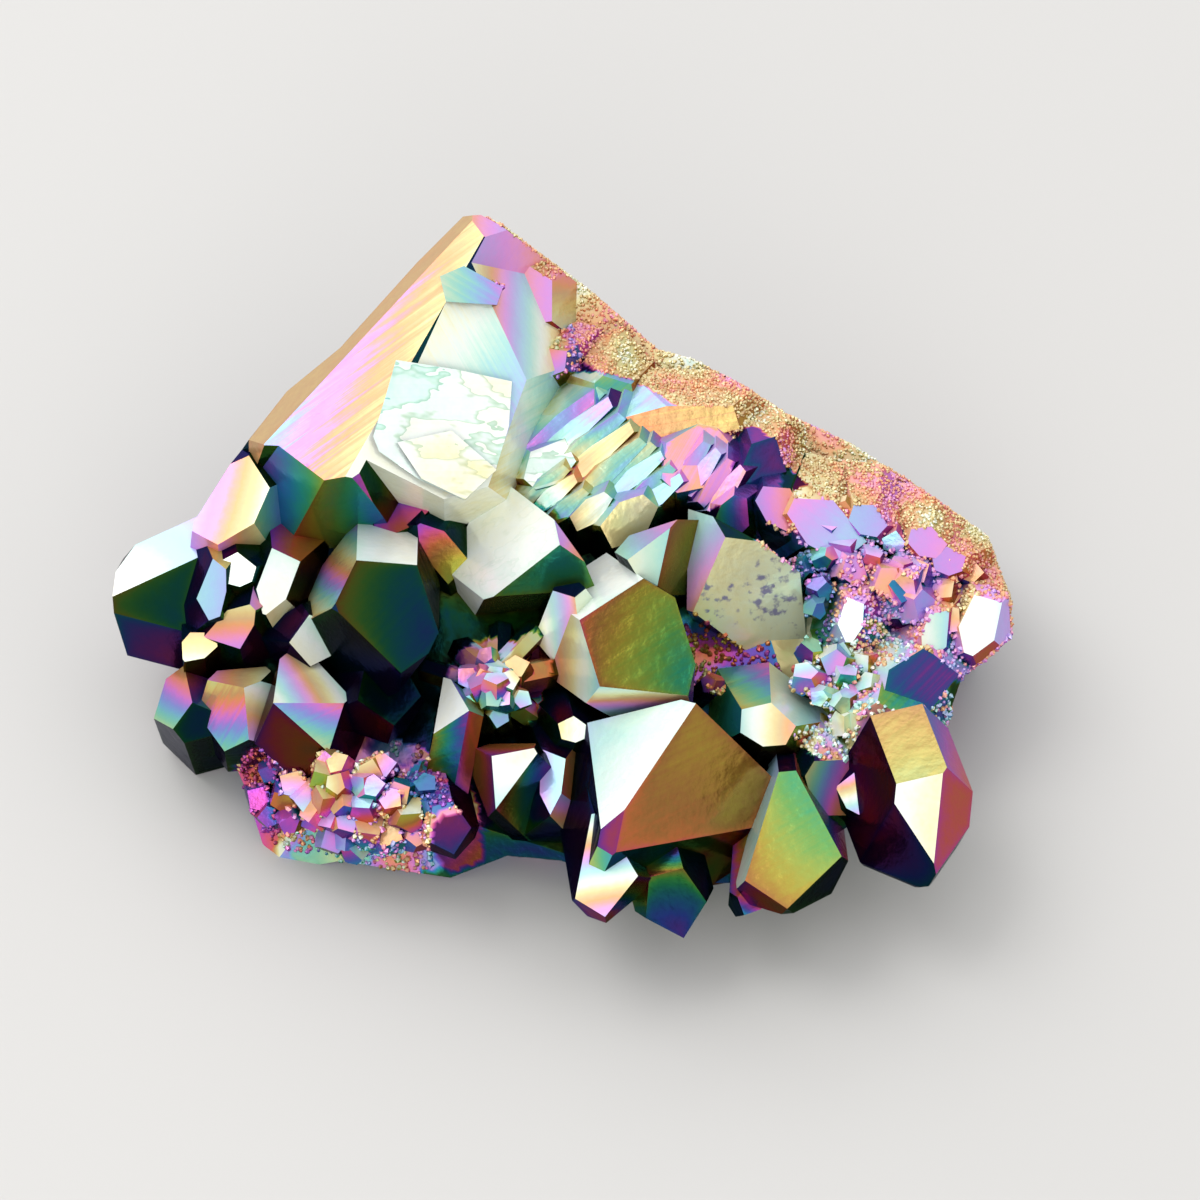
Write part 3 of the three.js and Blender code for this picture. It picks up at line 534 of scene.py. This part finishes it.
def corner_normals(points, triangles):
    a, b, c = (points[triangles[:, k]] for k in range(3))
    weight = np.cross(b - a, c - a)
    total = np.zeros_like(points)
    for k in range(3):
        np.add.at(total, triangles[:, k], weight)
    return total / np.maximum(np.linalg.norm(total, axis=1, keepdims=True), 1e-12)


def openness(points, normals):
    """Share of the sky above each point that nothing near hides."""
    sky = spread_directions(SKY)
    rays = [Vector(ray) for ray in sky]
    facing = normals @ sky.T
    result = np.ones(len(points))
    starts = points + 0.03 * normals
    for k in range(len(points)):
        start = Vector(starts[k])
        free, total = 0.0, 0.0
        for j in np.nonzero(facing[k] > 0.12)[0]:
            total += facing[k, j]
            if solid_tree.ray_cast(start, rays[j], SHELTER_REACH)[2] is None:
                free += facing[k, j]
        result[k] = free / max(total, 1e-6)
    return result


normals = corner_normals(points, triangles)
open_at = openness(points, normals)

# ---- low relief within each face; the edges between crystal faces stay where they are
low = np.full(len(points), len(solid_triangles))
high = np.full(len(points), -1)
for k in range(3):
    np.minimum.at(low, triangles[:, k], face)
    np.maximum.at(high, triangles[:, k], face)
inside = low == high
edge_tree = KDTree(int((~inside).sum()))
for k, corner in enumerate(points[~inside]):
    edge_tree.insert(corner, k)
edge_tree.balance()
from_edge = np.zeros(len(points))
for k in np.nonzero(inside)[0]:
    from_edge[k] = edge_tree.find(points[k])[2]

HILLOCKS_HIGH, HILLOCKS_APART = 0.012, 1.6  # mm, as all that follow
STRIAE_HIGH, LEDGES_HIGH = 0.03, 0.09
EDGE_KEEP = 0.5  # the relief fades out this near the edge of a face
SCOOPS = ((0.6, 5.0), (0.35, 2.0), (0.15, 0.9))  # depth of the scoops in the rock, and how far apart they are

relief = HILLOCKS_HIGH * rolling(points, HILLOCKS_APART)
lined_at, ledged_at, _ = np.array([face_finish.get(f, MIRROR) for f in low]).T
striae_at = np.array([face_striae.get(f, (0.0, 0.0, 1.0)) for f in low])
along_striae = np.einsum("ij,ij->i", points, striae_at)
steps = np.sin(along_striae * 4.2 + 1.5 * rolling(points, 3.0)) + 0.6 * np.sin(along_striae * 7.3 + 0.8)
relief += STRIAE_HIGH * lined_at * steps
relief += LEDGES_HIGH * ledged_at * np.round(2.5 * rolling(points, 3.4) + 0.6 * rolling(points, 0.9))
relief *= np.clip(from_edge / EDGE_KEEP, 0, 1) * inside

# the rock behind is scooped between sharp ridges, always inward of the walls
corner_face = np.repeat(face, 3)
corner_points = points[triangles.reshape(-1)]
corner_named = np.array([f in named_faces for f in face]).repeat(3)
corner_facing = np.array([face_normal[f] for f in face]).repeat(3, axis=0)
rocky = broken_off(corner_points, corner_facing) & ~corner_named
rock_at = np.ones(len(points), bool)
np.logical_and.at(rock_at, triangles.reshape(-1), rocky)
scooped = sum(deep * np.abs(rolling(points, apart)) for deep, apart in SCOOPS)
relief = np.where(rock_at, -scooped, relief)
shaped = points + normals * relief[:, None]

# ---- the film at each corner; the broad faces of the crust take theirs from where they lie
RIM_THINNING, RIM_REACH = 0.14, 0.35  # how much thinner the film is at the edge of a face, and how far in, mm
corner_open = open_at[triangles.reshape(-1)]
here = []
for corner, f, rock in zip(corner_points, corner_face, rocky):
    if rock or (f in broad_faces and f not in named_faces):
        here.append(unnamed(corner, face_normal[f], face_dice[f], rock))
    else:
        here.append((face_film[f], face_drift[f], face_pale[f], face_finish[f], face_striae[f]))
film, drifts, pale, finish, striae_toward = (np.array(value, float) for value in zip(*here))
film_toward = np.array([face_toward[f] for f in face]).repeat(3, axis=0) * ~rocky[:, None]
film_from = np.array([face_at[f] for f in face]).repeat(3, axis=0)
offset = corner_points - film_from
offset[:, 2] *= np.abs(film_toward[:, 2]) > 1e-9
film += np.einsum("ij,ij->i", offset, film_toward)
film += 1.2 * drifts * rolling(corner_points, 6.0)
broad = np.array([f in broad_faces for f in face]).repeat(3)
rim = np.exp(-from_edge[triangles.reshape(-1)] / RIM_REACH)
rim_part = np.where(broad, RIM_THINNING, 0.3 * RIM_THINNING) * ~rocky
film -= rim_part * rim * (1 - 1.3 * pale)
film -= np.where(corner_named, 0.08, 0.5) * np.clip(0.6 - corner_open, 0, 1)
# painted shade: sheltered corners are made less pale, and painted_open below darkens the crevices toward the
# painted crevice shade colour
pale *= np.where(corner_named, 1.0, np.clip(0.4 + 2.0 * corner_open, 0.4, 1))
least_open = np.where(corner_named | (pale > 0.25), 0.4, 0.12)
painted_open = least_open + (1 - least_open) * corner_open
striae_run = np.einsum("ij,ij->i", corner_points, striae_toward)
lines, ledges, dust = finish.T


def mesh_piece(name, points, faces, corner_values, material, sharp_between=None):
    """A mesh piece in the row frame. corner_values are its attributes, one number a corner of a face."""
    mesh = bpy.data.meshes.new(name)
    mesh.from_pydata(to_row(points).tolist(), [], faces if isinstance(faces, list) else faces.tolist())
    for label, values in corner_values.items():
        attribute = mesh.attributes.new(label, "FLOAT", "CORNER")
        attribute.data.foreach_set("value", np.asarray(values, np.float32))
    mesh.materials.append(material)
    if sharp_between is not None:
        mesh.polygons.foreach_set("use_smooth", np.ones(len(mesh.polygons), bool))
        edge_index = np.zeros(len(mesh.loops), int)
        mesh.loops.foreach_get("edge_index", edge_index)
        low = np.full(len(mesh.edges), 1 << 30)
        high = np.full(len(mesh.edges), -1)
        np.minimum.at(low, edge_index, sharp_between)
        np.maximum.at(high, edge_index, sharp_between)
        sharp = mesh.attributes.new("sharp_edge", "BOOLEAN", "EDGE")
        sharp.data.foreach_set("value", low != high)
    obj = bpy.data.objects.new(name, mesh)
    bpy.context.scene.collection.objects.link(obj)
    return obj


def linear(hex_colour):
    """An sRGB hex colour as linear red, green, blue and alpha."""
    parts = [int(hex_colour[k:k + 2], 16) / 255 for k in (1, 3, 5)]
    return [c / 12.92 if c <= 0.04045 else ((c + 0.055) / 1.055) ** 2.4 for c in parts] + [1.0]


def add_node(tree, kind, settings=None, inputs=None):
    """A node with its settings, and its inputs each set to a value or linked from a socket."""
    node = tree.nodes.new(kind)
    for label, value in (settings or {}).items():
        setattr(node, label, value)
    for label, value in (inputs or {}).items():
        if isinstance(value, bpy.types.NodeSocket):
            tree.links.new(value, node.inputs[label])
        else:
            node.inputs[label].default_value = value
    return node


def set_stops(ramp, stops):
    """Colour stops on a ramp, as (place, hex colour)."""
    elements = ramp.color_ramp.elements
    while len(elements) > 1:
        elements.remove(elements[-1])
    elements[0].position, elements[0].color = stops[0][0], linear(stops[0][1])
    for place, colour in stops[1:]:
        elements.new(place).color = linear(colour)


# Interference colours in order of thickness, in three painted lights: a painted highlight where a face
# throws back the light, painted half light where it throws back half of it, painted shade where it is turned
# away.
FILM_IN_PAINTED_LIGHT = [
    (0.0, "#ecd0a0"), (0.06, "#f5e2a8"), (0.12, "#faf3c0"), (0.2, "#fdfdec"), (0.27, "#fbfffb"),
    (0.34, "#e6fbf0"), (0.42, "#c8f3ec"), (0.5, "#c4e6f6"), (0.58, "#ccd2f8"), (0.65, "#dcc2f7"),
    (0.73, "#f4b4f2"), (0.79, "#fbb8de"), (0.86, "#fbb8aa"), (0.93, "#f5c08a"), (1.0, "#ecd0a0"),
]
FILM_IN_PAINTED_HALF_LIGHT = [
    (0.0, "#a8743a"), (0.06, "#b08a38"), (0.12, "#b0a13a"), (0.2, "#9cae44"), (0.28, "#6dab50"),
    (0.36, "#3ea773"), (0.44, "#2f9f98"), (0.52, "#3386b4"), (0.6, "#5068bd"), (0.67, "#7f55bd"),
    (0.74, "#b34fb8"), (0.81, "#d0558f"), (0.88, "#d5625c"), (0.94, "#c9733f"), (1.0, "#a8743a"),
]
FILM_IN_PAINTED_SHADE = [
    (0.0, "#3a2410"), (0.08, "#39300f"), (0.16, "#2a3a10"), (0.24, "#123a14"), (0.32, "#06301c"),
    (0.4, "#04262a"), (0.48, "#051f33"), (0.56, "#0b153b"), (0.64, "#1b1038"), (0.72, "#260a2e"),
    (0.8, "#3c0c28"), (0.87, "#4a1216"), (0.94, "#472209"), (1.0, "#3a2410"),
]
# the painted shade colour of the crevices
CREVICE_PAINTED_SHADE = "#04060c"
DUST = "#85849a"
SLANT_TINT = "#9a9aa6"  # what a face keeps of the light that grazes it


def titanium_film(name, roughness, unevenness, metallic):
    """Vapour-deposited titanium oxide on rock crystal: a mirror whose colour comes from its film, with
    painted light and painted shade mixed into that colour.
    """
    material = bpy.data.materials.new(name)
    material.use_nodes = True
    tree = material.node_tree
    tree.nodes.clear()
    place = add_node(tree, "ShaderNodeTexCoord").outputs["Object"]
    film = add_node(tree, "ShaderNodeAttribute", {"attribute_name": "film"}).outputs["Fac"]
    pale = add_node(tree, "ShaderNodeAttribute", {"attribute_name": "pale"}).outputs["Fac"]
    painted_shade_openness = add_node(tree, "ShaderNodeAttribute", {"attribute_name": "open"}).outputs["Fac"]
    lines = add_node(tree, "ShaderNodeAttribute", {"attribute_name": "lines"}).outputs["Fac"]
    ledges = add_node(tree, "ShaderNodeAttribute", {"attribute_name": "ledges"}).outputs["Fac"]
    dust = add_node(tree, "ShaderNodeAttribute", {"attribute_name": "dust"}).outputs["Fac"]
    striae = add_node(tree, "ShaderNodeAttribute", {"attribute_name": "striae"}).outputs["Fac"]
    # slow drift of the film over a few millimetres, and fine mottling a tenth as wide
    drift = add_node(tree, "ShaderNodeTexNoise", {}, {"Vector": place, "Scale": 260.0, "Detail": 3.0})
    mottle = add_node(tree, "ShaderNodeTexNoise", {}, {"Vector": place, "Scale": 2600.0, "Detail": 4.0})
    middling = 0.5 * unevenness + 0.03  # what the drift and the mottling add on the whole
    centred = add_node(tree, "ShaderNodeMath", {"operation": "SUBTRACT"}, {0: film, 1: middling})
    drift_part = add_node(tree, "ShaderNodeMath", {"operation": "MULTIPLY_ADD"},
                          {0: drift.outputs["Fac"], 1: unevenness, 2: centred.outputs["Value"]})
    line_noise = add_node(tree, "ShaderNodeTexNoise", {"noise_dimensions": "1D"},
                          {"W": striae, "Scale": 2.6, "Detail": 5.0, "Roughness": 0.7})
    lined = add_node(tree, "ShaderNodeMath", {"operation": "SUBTRACT"},
                     {0: line_noise.outputs["Fac"], 1: 0.5})
    lined_part = add_node(tree, "ShaderNodeMath", {"operation": "MULTIPLY"},
                          {0: lined.outputs["Value"], 1: lines})
    lined_film = add_node(tree, "ShaderNodeMath", {"operation": "MULTIPLY_ADD"},
                          {0: lined_part.outputs["Value"], 1: 0.5, 2: drift_part.outputs["Value"]})
    mottled = add_node(tree, "ShaderNodeMath", {"operation": "MULTIPLY_ADD"},
                       {0: mottle.outputs["Fac"], 1: 0.06, 2: lined_film.outputs["Value"]})
    # a broken face runs in long terraces a few millimetres wide, each with a film of its own
    long_place = add_node(tree, "ShaderNodeMapping", {}, {"Vector": place, "Rotation": (0.0, 0.3, 0.6),
                                                          "Scale": (0.45, 1.5, 1.0)})
    terrace = add_node(tree, "ShaderNodeTexNoise", {},
                       {"Vector": long_place.outputs["Vector"], "Scale": 170.0,
                        "Detail": 4.0, "Roughness": 0.6})
    terraces = add_node(tree, "ShaderNodeMath", {"operation": "SNAP"}, {0: terrace.outputs["Fac"], 1: 0.1})
    above = add_node(tree, "ShaderNodeMath", {"operation": "SUBTRACT"},
                     {0: terraces.outputs["Value"], 1: 0.5})
    terrace_part = add_node(tree, "ShaderNodeMath", {"operation": "MULTIPLY"},
                            {0: above.outputs["Value"], 1: ledges})
    stepped = add_node(tree, "ShaderNodeMath", {"operation": "MULTIPLY_ADD"},
                       {0: terrace_part.outputs["Value"], 1: 0.6, 2: mottled.outputs["Value"]})
    turns = add_node(tree, "ShaderNodeMath", {"operation": "FRACT"}, {0: stepped.outputs["Value"]})
    # painted shade along the edge of each terrace: a thin line where the painted light is lowered, so the
    # colour is fuller
    past_edge = add_node(tree, "ShaderNodeMath", {"operation": "MODULO"}, {0: terrace.outputs["Fac"], 1: 0.1})
    edge_line = add_node(tree, "ShaderNodeMapRange", {},
                         {"Value": past_edge.outputs["Value"], "From Min": 0.0, "From Max": 0.03,
                          "To Min": 0.22, "To Max": 0.0})
    edge_part = add_node(tree, "ShaderNodeMath", {"operation": "MULTIPLY"},
                         {0: edge_line.outputs["Result"], 1: ledges})
    less_lit = add_node(tree, "ShaderNodeMath", {"operation": "SUBTRACT"},
                        {0: pale, 1: edge_part.outputs["Value"]})
    lit = less_lit.outputs["Value"]
    # the film colour painted in highlight, half light and shade, mixed by the painted light level
    painted_light_ramp = add_node(tree, "ShaderNodeValToRGB", {}, {"Fac": turns.outputs["Value"]})
    painted_half_light_ramp = add_node(tree, "ShaderNodeValToRGB", {}, {"Fac": turns.outputs["Value"]})
    painted_shade_ramp = add_node(tree, "ShaderNodeValToRGB", {}, {"Fac": turns.outputs["Value"]})
    set_stops(painted_light_ramp, FILM_IN_PAINTED_LIGHT)
    set_stops(painted_half_light_ramp, FILM_IN_PAINTED_HALF_LIGHT)
    set_stops(painted_shade_ramp, FILM_IN_PAINTED_SHADE)
    half_lit = add_node(tree, "ShaderNodeMapRange", {}, {"Value": lit, "From Min": 0.0, "From Max": 0.5})
    painted_shade_to_half_light = add_node(tree, "ShaderNodeMix", {"data_type": "RGBA"})
    tree.links.new(half_lit.outputs["Result"], painted_shade_to_half_light.inputs["Factor"])
    tree.links.new(painted_shade_ramp.outputs["Color"], painted_shade_to_half_light.inputs["A"])
    tree.links.new(painted_half_light_ramp.outputs["Color"], painted_shade_to_half_light.inputs["B"])
    fully_lit = add_node(tree, "ShaderNodeMapRange", {}, {"Value": lit, "From Min": 0.5, "From Max": 1.0})
    colour = add_node(tree, "ShaderNodeMix", {"data_type": "RGBA"})
    tree.links.new(fully_lit.outputs["Result"], colour.inputs["Factor"])
    tree.links.new(painted_shade_to_half_light.outputs["Result"], colour.inputs["A"])
    tree.links.new(painted_light_ramp.outputs["Color"], colour.inputs["B"])
    # grey-violet dust in patches of a third of a millimetre
    specks = add_node(tree, "ShaderNodeTexNoise", {}, {"Vector": place, "Scale": 1500.0, "Detail": 5.0})
    patchy = add_node(tree, "ShaderNodeMath", {"operation": "MULTIPLY"},
                      {0: specks.outputs["Fac"], 1: drift.outputs["Fac"]})
    speckled = add_node(tree, "ShaderNodeMapRange", {},
                        {"Value": patchy.outputs["Value"], "From Min": 0.29, "From Max": 0.36})
    dusted = add_node(tree, "ShaderNodeMath", {"operation": "MULTIPLY"},
                      {0: speckled.outputs["Result"], 1: dust})
    dusty = add_node(tree, "ShaderNodeMix", {"data_type": "RGBA"})
    tree.links.new(dusted.outputs["Value"], dusty.inputs["Factor"])
    tree.links.new(colour.outputs["Result"], dusty.inputs["A"])
    dusty.inputs["B"].default_value = linear(DUST)
    # painted shade: corners that the sky hardly reaches are darkened toward the painted crevice shade colour
    crevice_shade_depth = add_node(tree, "ShaderNodeMapRange", {"interpolation_type": "SMOOTHSTEP"},
                     {"Value": painted_shade_openness, "From Min": 0.1, "From Max": 0.45, "To Min": 0.0, "To Max": 1.0})
    crevice_painted_shade = add_node(tree, "ShaderNodeMix", {"data_type": "RGBA"})
    tree.links.new(crevice_shade_depth.outputs["Result"], crevice_painted_shade.inputs["Factor"])
    crevice_painted_shade.inputs["A"].default_value = linear(CREVICE_PAINTED_SHADE)
    tree.links.new(dusty.outputs["Result"], crevice_painted_shade.inputs["B"])
    # growth hillocks too low to model, as a bump
    hillocks = add_node(tree, "ShaderNodeTexNoise", {}, {"Vector": place, "Scale": 1800.0, "Detail": 4.0})
    lined_height = add_node(tree, "ShaderNodeMath", {"operation": "MULTIPLY_ADD"},
                            {0: lined_part.outputs["Value"], 1: 1.2, 2: hillocks.outputs["Fac"]})
    height = add_node(tree, "ShaderNodeMath", {"operation": "MULTIPLY_ADD"},
                      {0: terrace_part.outputs["Value"], 1: 6.0, 2: lined_height.outputs["Value"]})
    bump = add_node(tree, "ShaderNodeBump", {}, {"Height": height.outputs["Value"], "Strength": 0.35,
                                                "Distance": 0.00008})
    dull = add_node(tree, "ShaderNodeMath", {"operation": "MULTIPLY_ADD"},
                    {0: mottle.outputs["Fac"], 1: 0.16, 2: roughness})
    # where the film is deep it mirrors more and scatters less
    mirroring = add_node(tree, "ShaderNodeMapRange", {}, {"Value": pale, "To Min": 0.9, "To Max": metallic})
    shader = add_node(tree, "ShaderNodeBsdfPrincipled", {}, {
        "Base Color": crevice_painted_shade.outputs["Result"], "Metallic": mirroring.outputs["Result"],
        "Roughness": dull.outputs["Value"], "Normal": bump.outputs["Normal"],
        "Specular Tint": linear(SLANT_TINT)})
    out = add_node(tree, "ShaderNodeOutputMaterial")
    tree.links.new(shader.outputs["BSDF"], out.inputs["Surface"])
    return material


filmed_quartz = titanium_film("titanium_film_on_crystal_faces", 0.1, 0.1, 0.2)
grown_quartz = mesh_piece("grown_quartz", shaped, triangles, {
    "film": film, "pale": pale, "open": painted_open, "striae": striae_run,
    "lines": lines, "ledges": ledges, "dust": dust,
}, filmed_quartz, sharp_between=corner_face)
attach(grown_quartz, "root")
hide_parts("quartz_cluster")

# ---------------------------------------------------------------- druse
# Crystals of a few tenths of a millimetre that cover the crust between the large points like sugar,
# grown with it and filmed with it.

GRAIN_SIDES = 6
GRAIN_SEED = 19
GRAIN_COVER = 0.74
FOOT_SHELTER = 0.5  # a small point stays bare where it is more open than this, but not at its foot
grain_dice = np.random.default_rng(GRAIN_SEED)


def grain_spots():
    """Where the grains stand: place, normal of the face under it, and patch."""
    centre = shaped[triangles].mean(axis=1)
    across = np.cross(shaped[triangles[:, 1]] - shaped[triangles[:, 0]],
                      shaped[triangles[:, 2]] - shaped[triangles[:, 0]])
    area = np.linalg.norm(across, axis=1) / 2
    facing = across / np.maximum(2 * area, 1e-12)[:, None]
    open_here = open_at[triangles].mean(axis=1)
    face_area = np.bincount(face, weights=area)
    wavering = centre + grain_dice.normal(size=len(centre))[:, None] * OUTWARD
    on_rock = broken_off(wavering, facing)
    spots = []
    clear_of_base = to_row(centre)[:, 2] > 0.6 * MM
    for k in np.nonzero((open_here > 0.25) & (facing[:, 2] > -0.15) & clear_of_base)[0]:
        if face[k] in named_faces or on_rock[k]:
            continue
        patch = patch_at(centre[k, 0], centre[k, 1])
        if patch is None or patch.grain == 0:
            continue
        if face_area[face[k]] < SMALL_POINT and open_here[k] > FOOT_SHELTER:
            continue
        for _ in range(int(GRAIN_COVER * area[k] / patch.grain ** 2 + grain_dice.random())):
            jitter = grain_dice.dirichlet((1, 1, 1))
            spots.append((jitter @ shaped[triangles[k]], facing[k], patch, open_here[k]))
    return spots


def grow(name, spots, material):
    """One joined mesh of short six-sided points, each with its own lean, size and film."""
    corners, faces, film, pale, painted_shade_open = [], [], [], [], []
    drift = rolling(np.array([spot[0] for spot in spots]), 6.0)
    turn = 2 * math.pi * np.arange(GRAIN_SIDES) / GRAIN_SIDES
    for (place, normal, patch, open_here), drifted in zip(spots, drift):
        axis = 0.8 * normal + 0.35 * OUTWARD + 0.45 * grain_dice.normal(size=3)
        axis /= np.linalg.norm(axis)
        side = np.cross(axis, [0.3, 0.8, 0.52])
        side /= np.linalg.norm(side)
        other = np.cross(axis, side)
        size = patch.grain * grain_dice.uniform(0.6, 1.25)
        radius, stand, peak = 0.55 * size, size * grain_dice.uniform(0.1, 0.45), 0.55 * size
        lengths = radius * grain_dice.uniform(0.8, 1.15, GRAIN_SIDES)[:, None]
        spin = turn + grain_dice.uniform(0, math.pi)
        ring = lengths * (np.cos(spin)[:, None] * side + np.sin(spin)[:, None] * other)
        foot = place - 0.5 * size * axis
        first = len(corners)
        corners.extend(foot + ring)
        corners.extend(place + stand * axis + ring)
        corners.append(place + (stand + peak) * axis)
        tip = first + 2 * GRAIN_SIDES
        own_film = patch.film + patch.spread * (1.6 * drifted + grain_dice.uniform(-0.5, 0.5))
        for k in range(GRAIN_SIDES):
            j = (k + 1) % GRAIN_SIDES
            upper = (first + GRAIN_SIDES + k, first + GRAIN_SIDES + j)
            slope = 0.5 * (ring[k] + ring[j]) / radius
            for loop, lean in (((first + k, first + j, upper[1], upper[0]), 0.0), ((*upper, tip), 0.62)):
                way = slope + lean * axis
                # each face of a grain is painted paler the more it turns to the light (painted highlight and
                # painted shade), and its film a little thicker
                lit = float(way @ TOWARD_LIGHT) / np.linalg.norm(way)
                faces.append(loop)
                count = len(loop)
                film.extend([own_film + 0.05 * lit] * count)
                pale.extend([min(1.0, max(0.05, patch.pale * (0.55 + 0.7 * lit)))] * count)
                # painted shade: grains in sheltered spots, and their sides more than their tips, are darkened
                # toward the painted crevice shade colour
                painted_shade_open.extend([0.3 + open_here * (0.6 if count == 4 else 0.8)] * count)
    painted = {"film": film, "pale": pale, "open": painted_shade_open}
    return mesh_piece(name, np.array(corners), faces, painted, material)


filmed_druse = titanium_film("titanium_film_on_druse", 0.22, 0.1, 0.28)
druse_spots = grain_spots()
print("grains", len(druse_spots))
druse = grow("druse", druse_spots, filmed_druse)
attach(druse, "root")

# ---------------------------------------------------------------- stage
# A pale matt table top, a soft light above and to the left, a wide one low behind, and a small one in front.
# They are only what the cluster is shown with.

FLOOR_SIZE = 3.0
floor_mesh = bpy.data.meshes.new("table_top")
half = FLOOR_SIZE / 2
floor_corners = [(-half, -half, 0), (half, -half, 0), (half, half, 0), (-half, half, 0)]
floor_mesh.from_pydata(floor_corners, [], [(0, 1, 2, 3)])
table_top = bpy.data.objects.new("table_top", floor_mesh)
bpy.context.scene.collection.objects.link(table_top)
table_paint = bpy.data.materials.new("matt_pale_paint")
table_paint.use_nodes = True
paint_shader = table_paint.node_tree.nodes["Principled BSDF"]
paint_shader.inputs["Base Color"].default_value = linear("#cbc9c5")
paint_shader.inputs["Roughness"].default_value = 0.8
floor_mesh.materials.append(table_paint)

room = bpy.data.worlds.new("soft_room")
bpy.context.scene.world = room
room.use_nodes = True
room_light = room.node_tree.nodes["Background"]
room_light.inputs["Color"].default_value = linear("#f6f7fa")
room_light.inputs["Strength"].default_value = 1.05


def soft_light(name, place, aim, size, power):
    """A square soft box that points at a place on the part."""
    lamp = bpy.data.lights.new(name, "AREA")
    lamp.size = size
    lamp.energy = power
    obj = bpy.data.objects.new(name, lamp)
    obj.location = place
    obj.rotation_euler = (Vector(aim) - Vector(place)).to_track_quat("-Z", "Y").to_euler()
    bpy.context.scene.collection.objects.link(obj)


soft_light("soft_box_above_left", (-0.28, 0.1, 0.5), (0, 0, 0.015), 0.35, 0.85)
soft_light("wide_soft_box_behind", (-0.3, 0.52, 0.18), (0, 0, 0.015), 0.7, 2.0)
soft_light("soft_box_in_front", (-0.04, -0.5, 0.2), (0, 0, 0.015), 0.3, 0.85)

# ---------------------------------------------------------------- camera
# Far off with a long lens, square on to the growth face, so that the points are seen without foreshortening
# between near and far.

VIEW_HEIGHT = math.radians(48)  # above the horizon
VIEW_WIDTH = 80 * MM  # across the frame at the part
VIEW_DISTANCE = 0.9
SENSOR = 36.0
MIDDLE_OF_VIEW = to_row(np.array([[2.67, -1.67, 17.0]]))[0]

lens = bpy.data.cameras.new("long_lens")
lens.sensor_width = SENSOR
lens.lens = SENSOR * VIEW_DISTANCE / VIEW_WIDTH
camera = bpy.data.objects.new("camera", lens)
looking = Vector((0, math.cos(VIEW_HEIGHT), -math.sin(VIEW_HEIGHT)))
camera.location = Vector(MIDDLE_OF_VIEW) - looking * VIEW_DISTANCE
camera.rotation_euler = looking.to_track_quat("-Z", "Y").to_euler()
bpy.context.scene.collection.objects.link(camera)
bpy.context.scene.camera = camera
bpy.context.scene.view_settings.view_transform = "Standard"
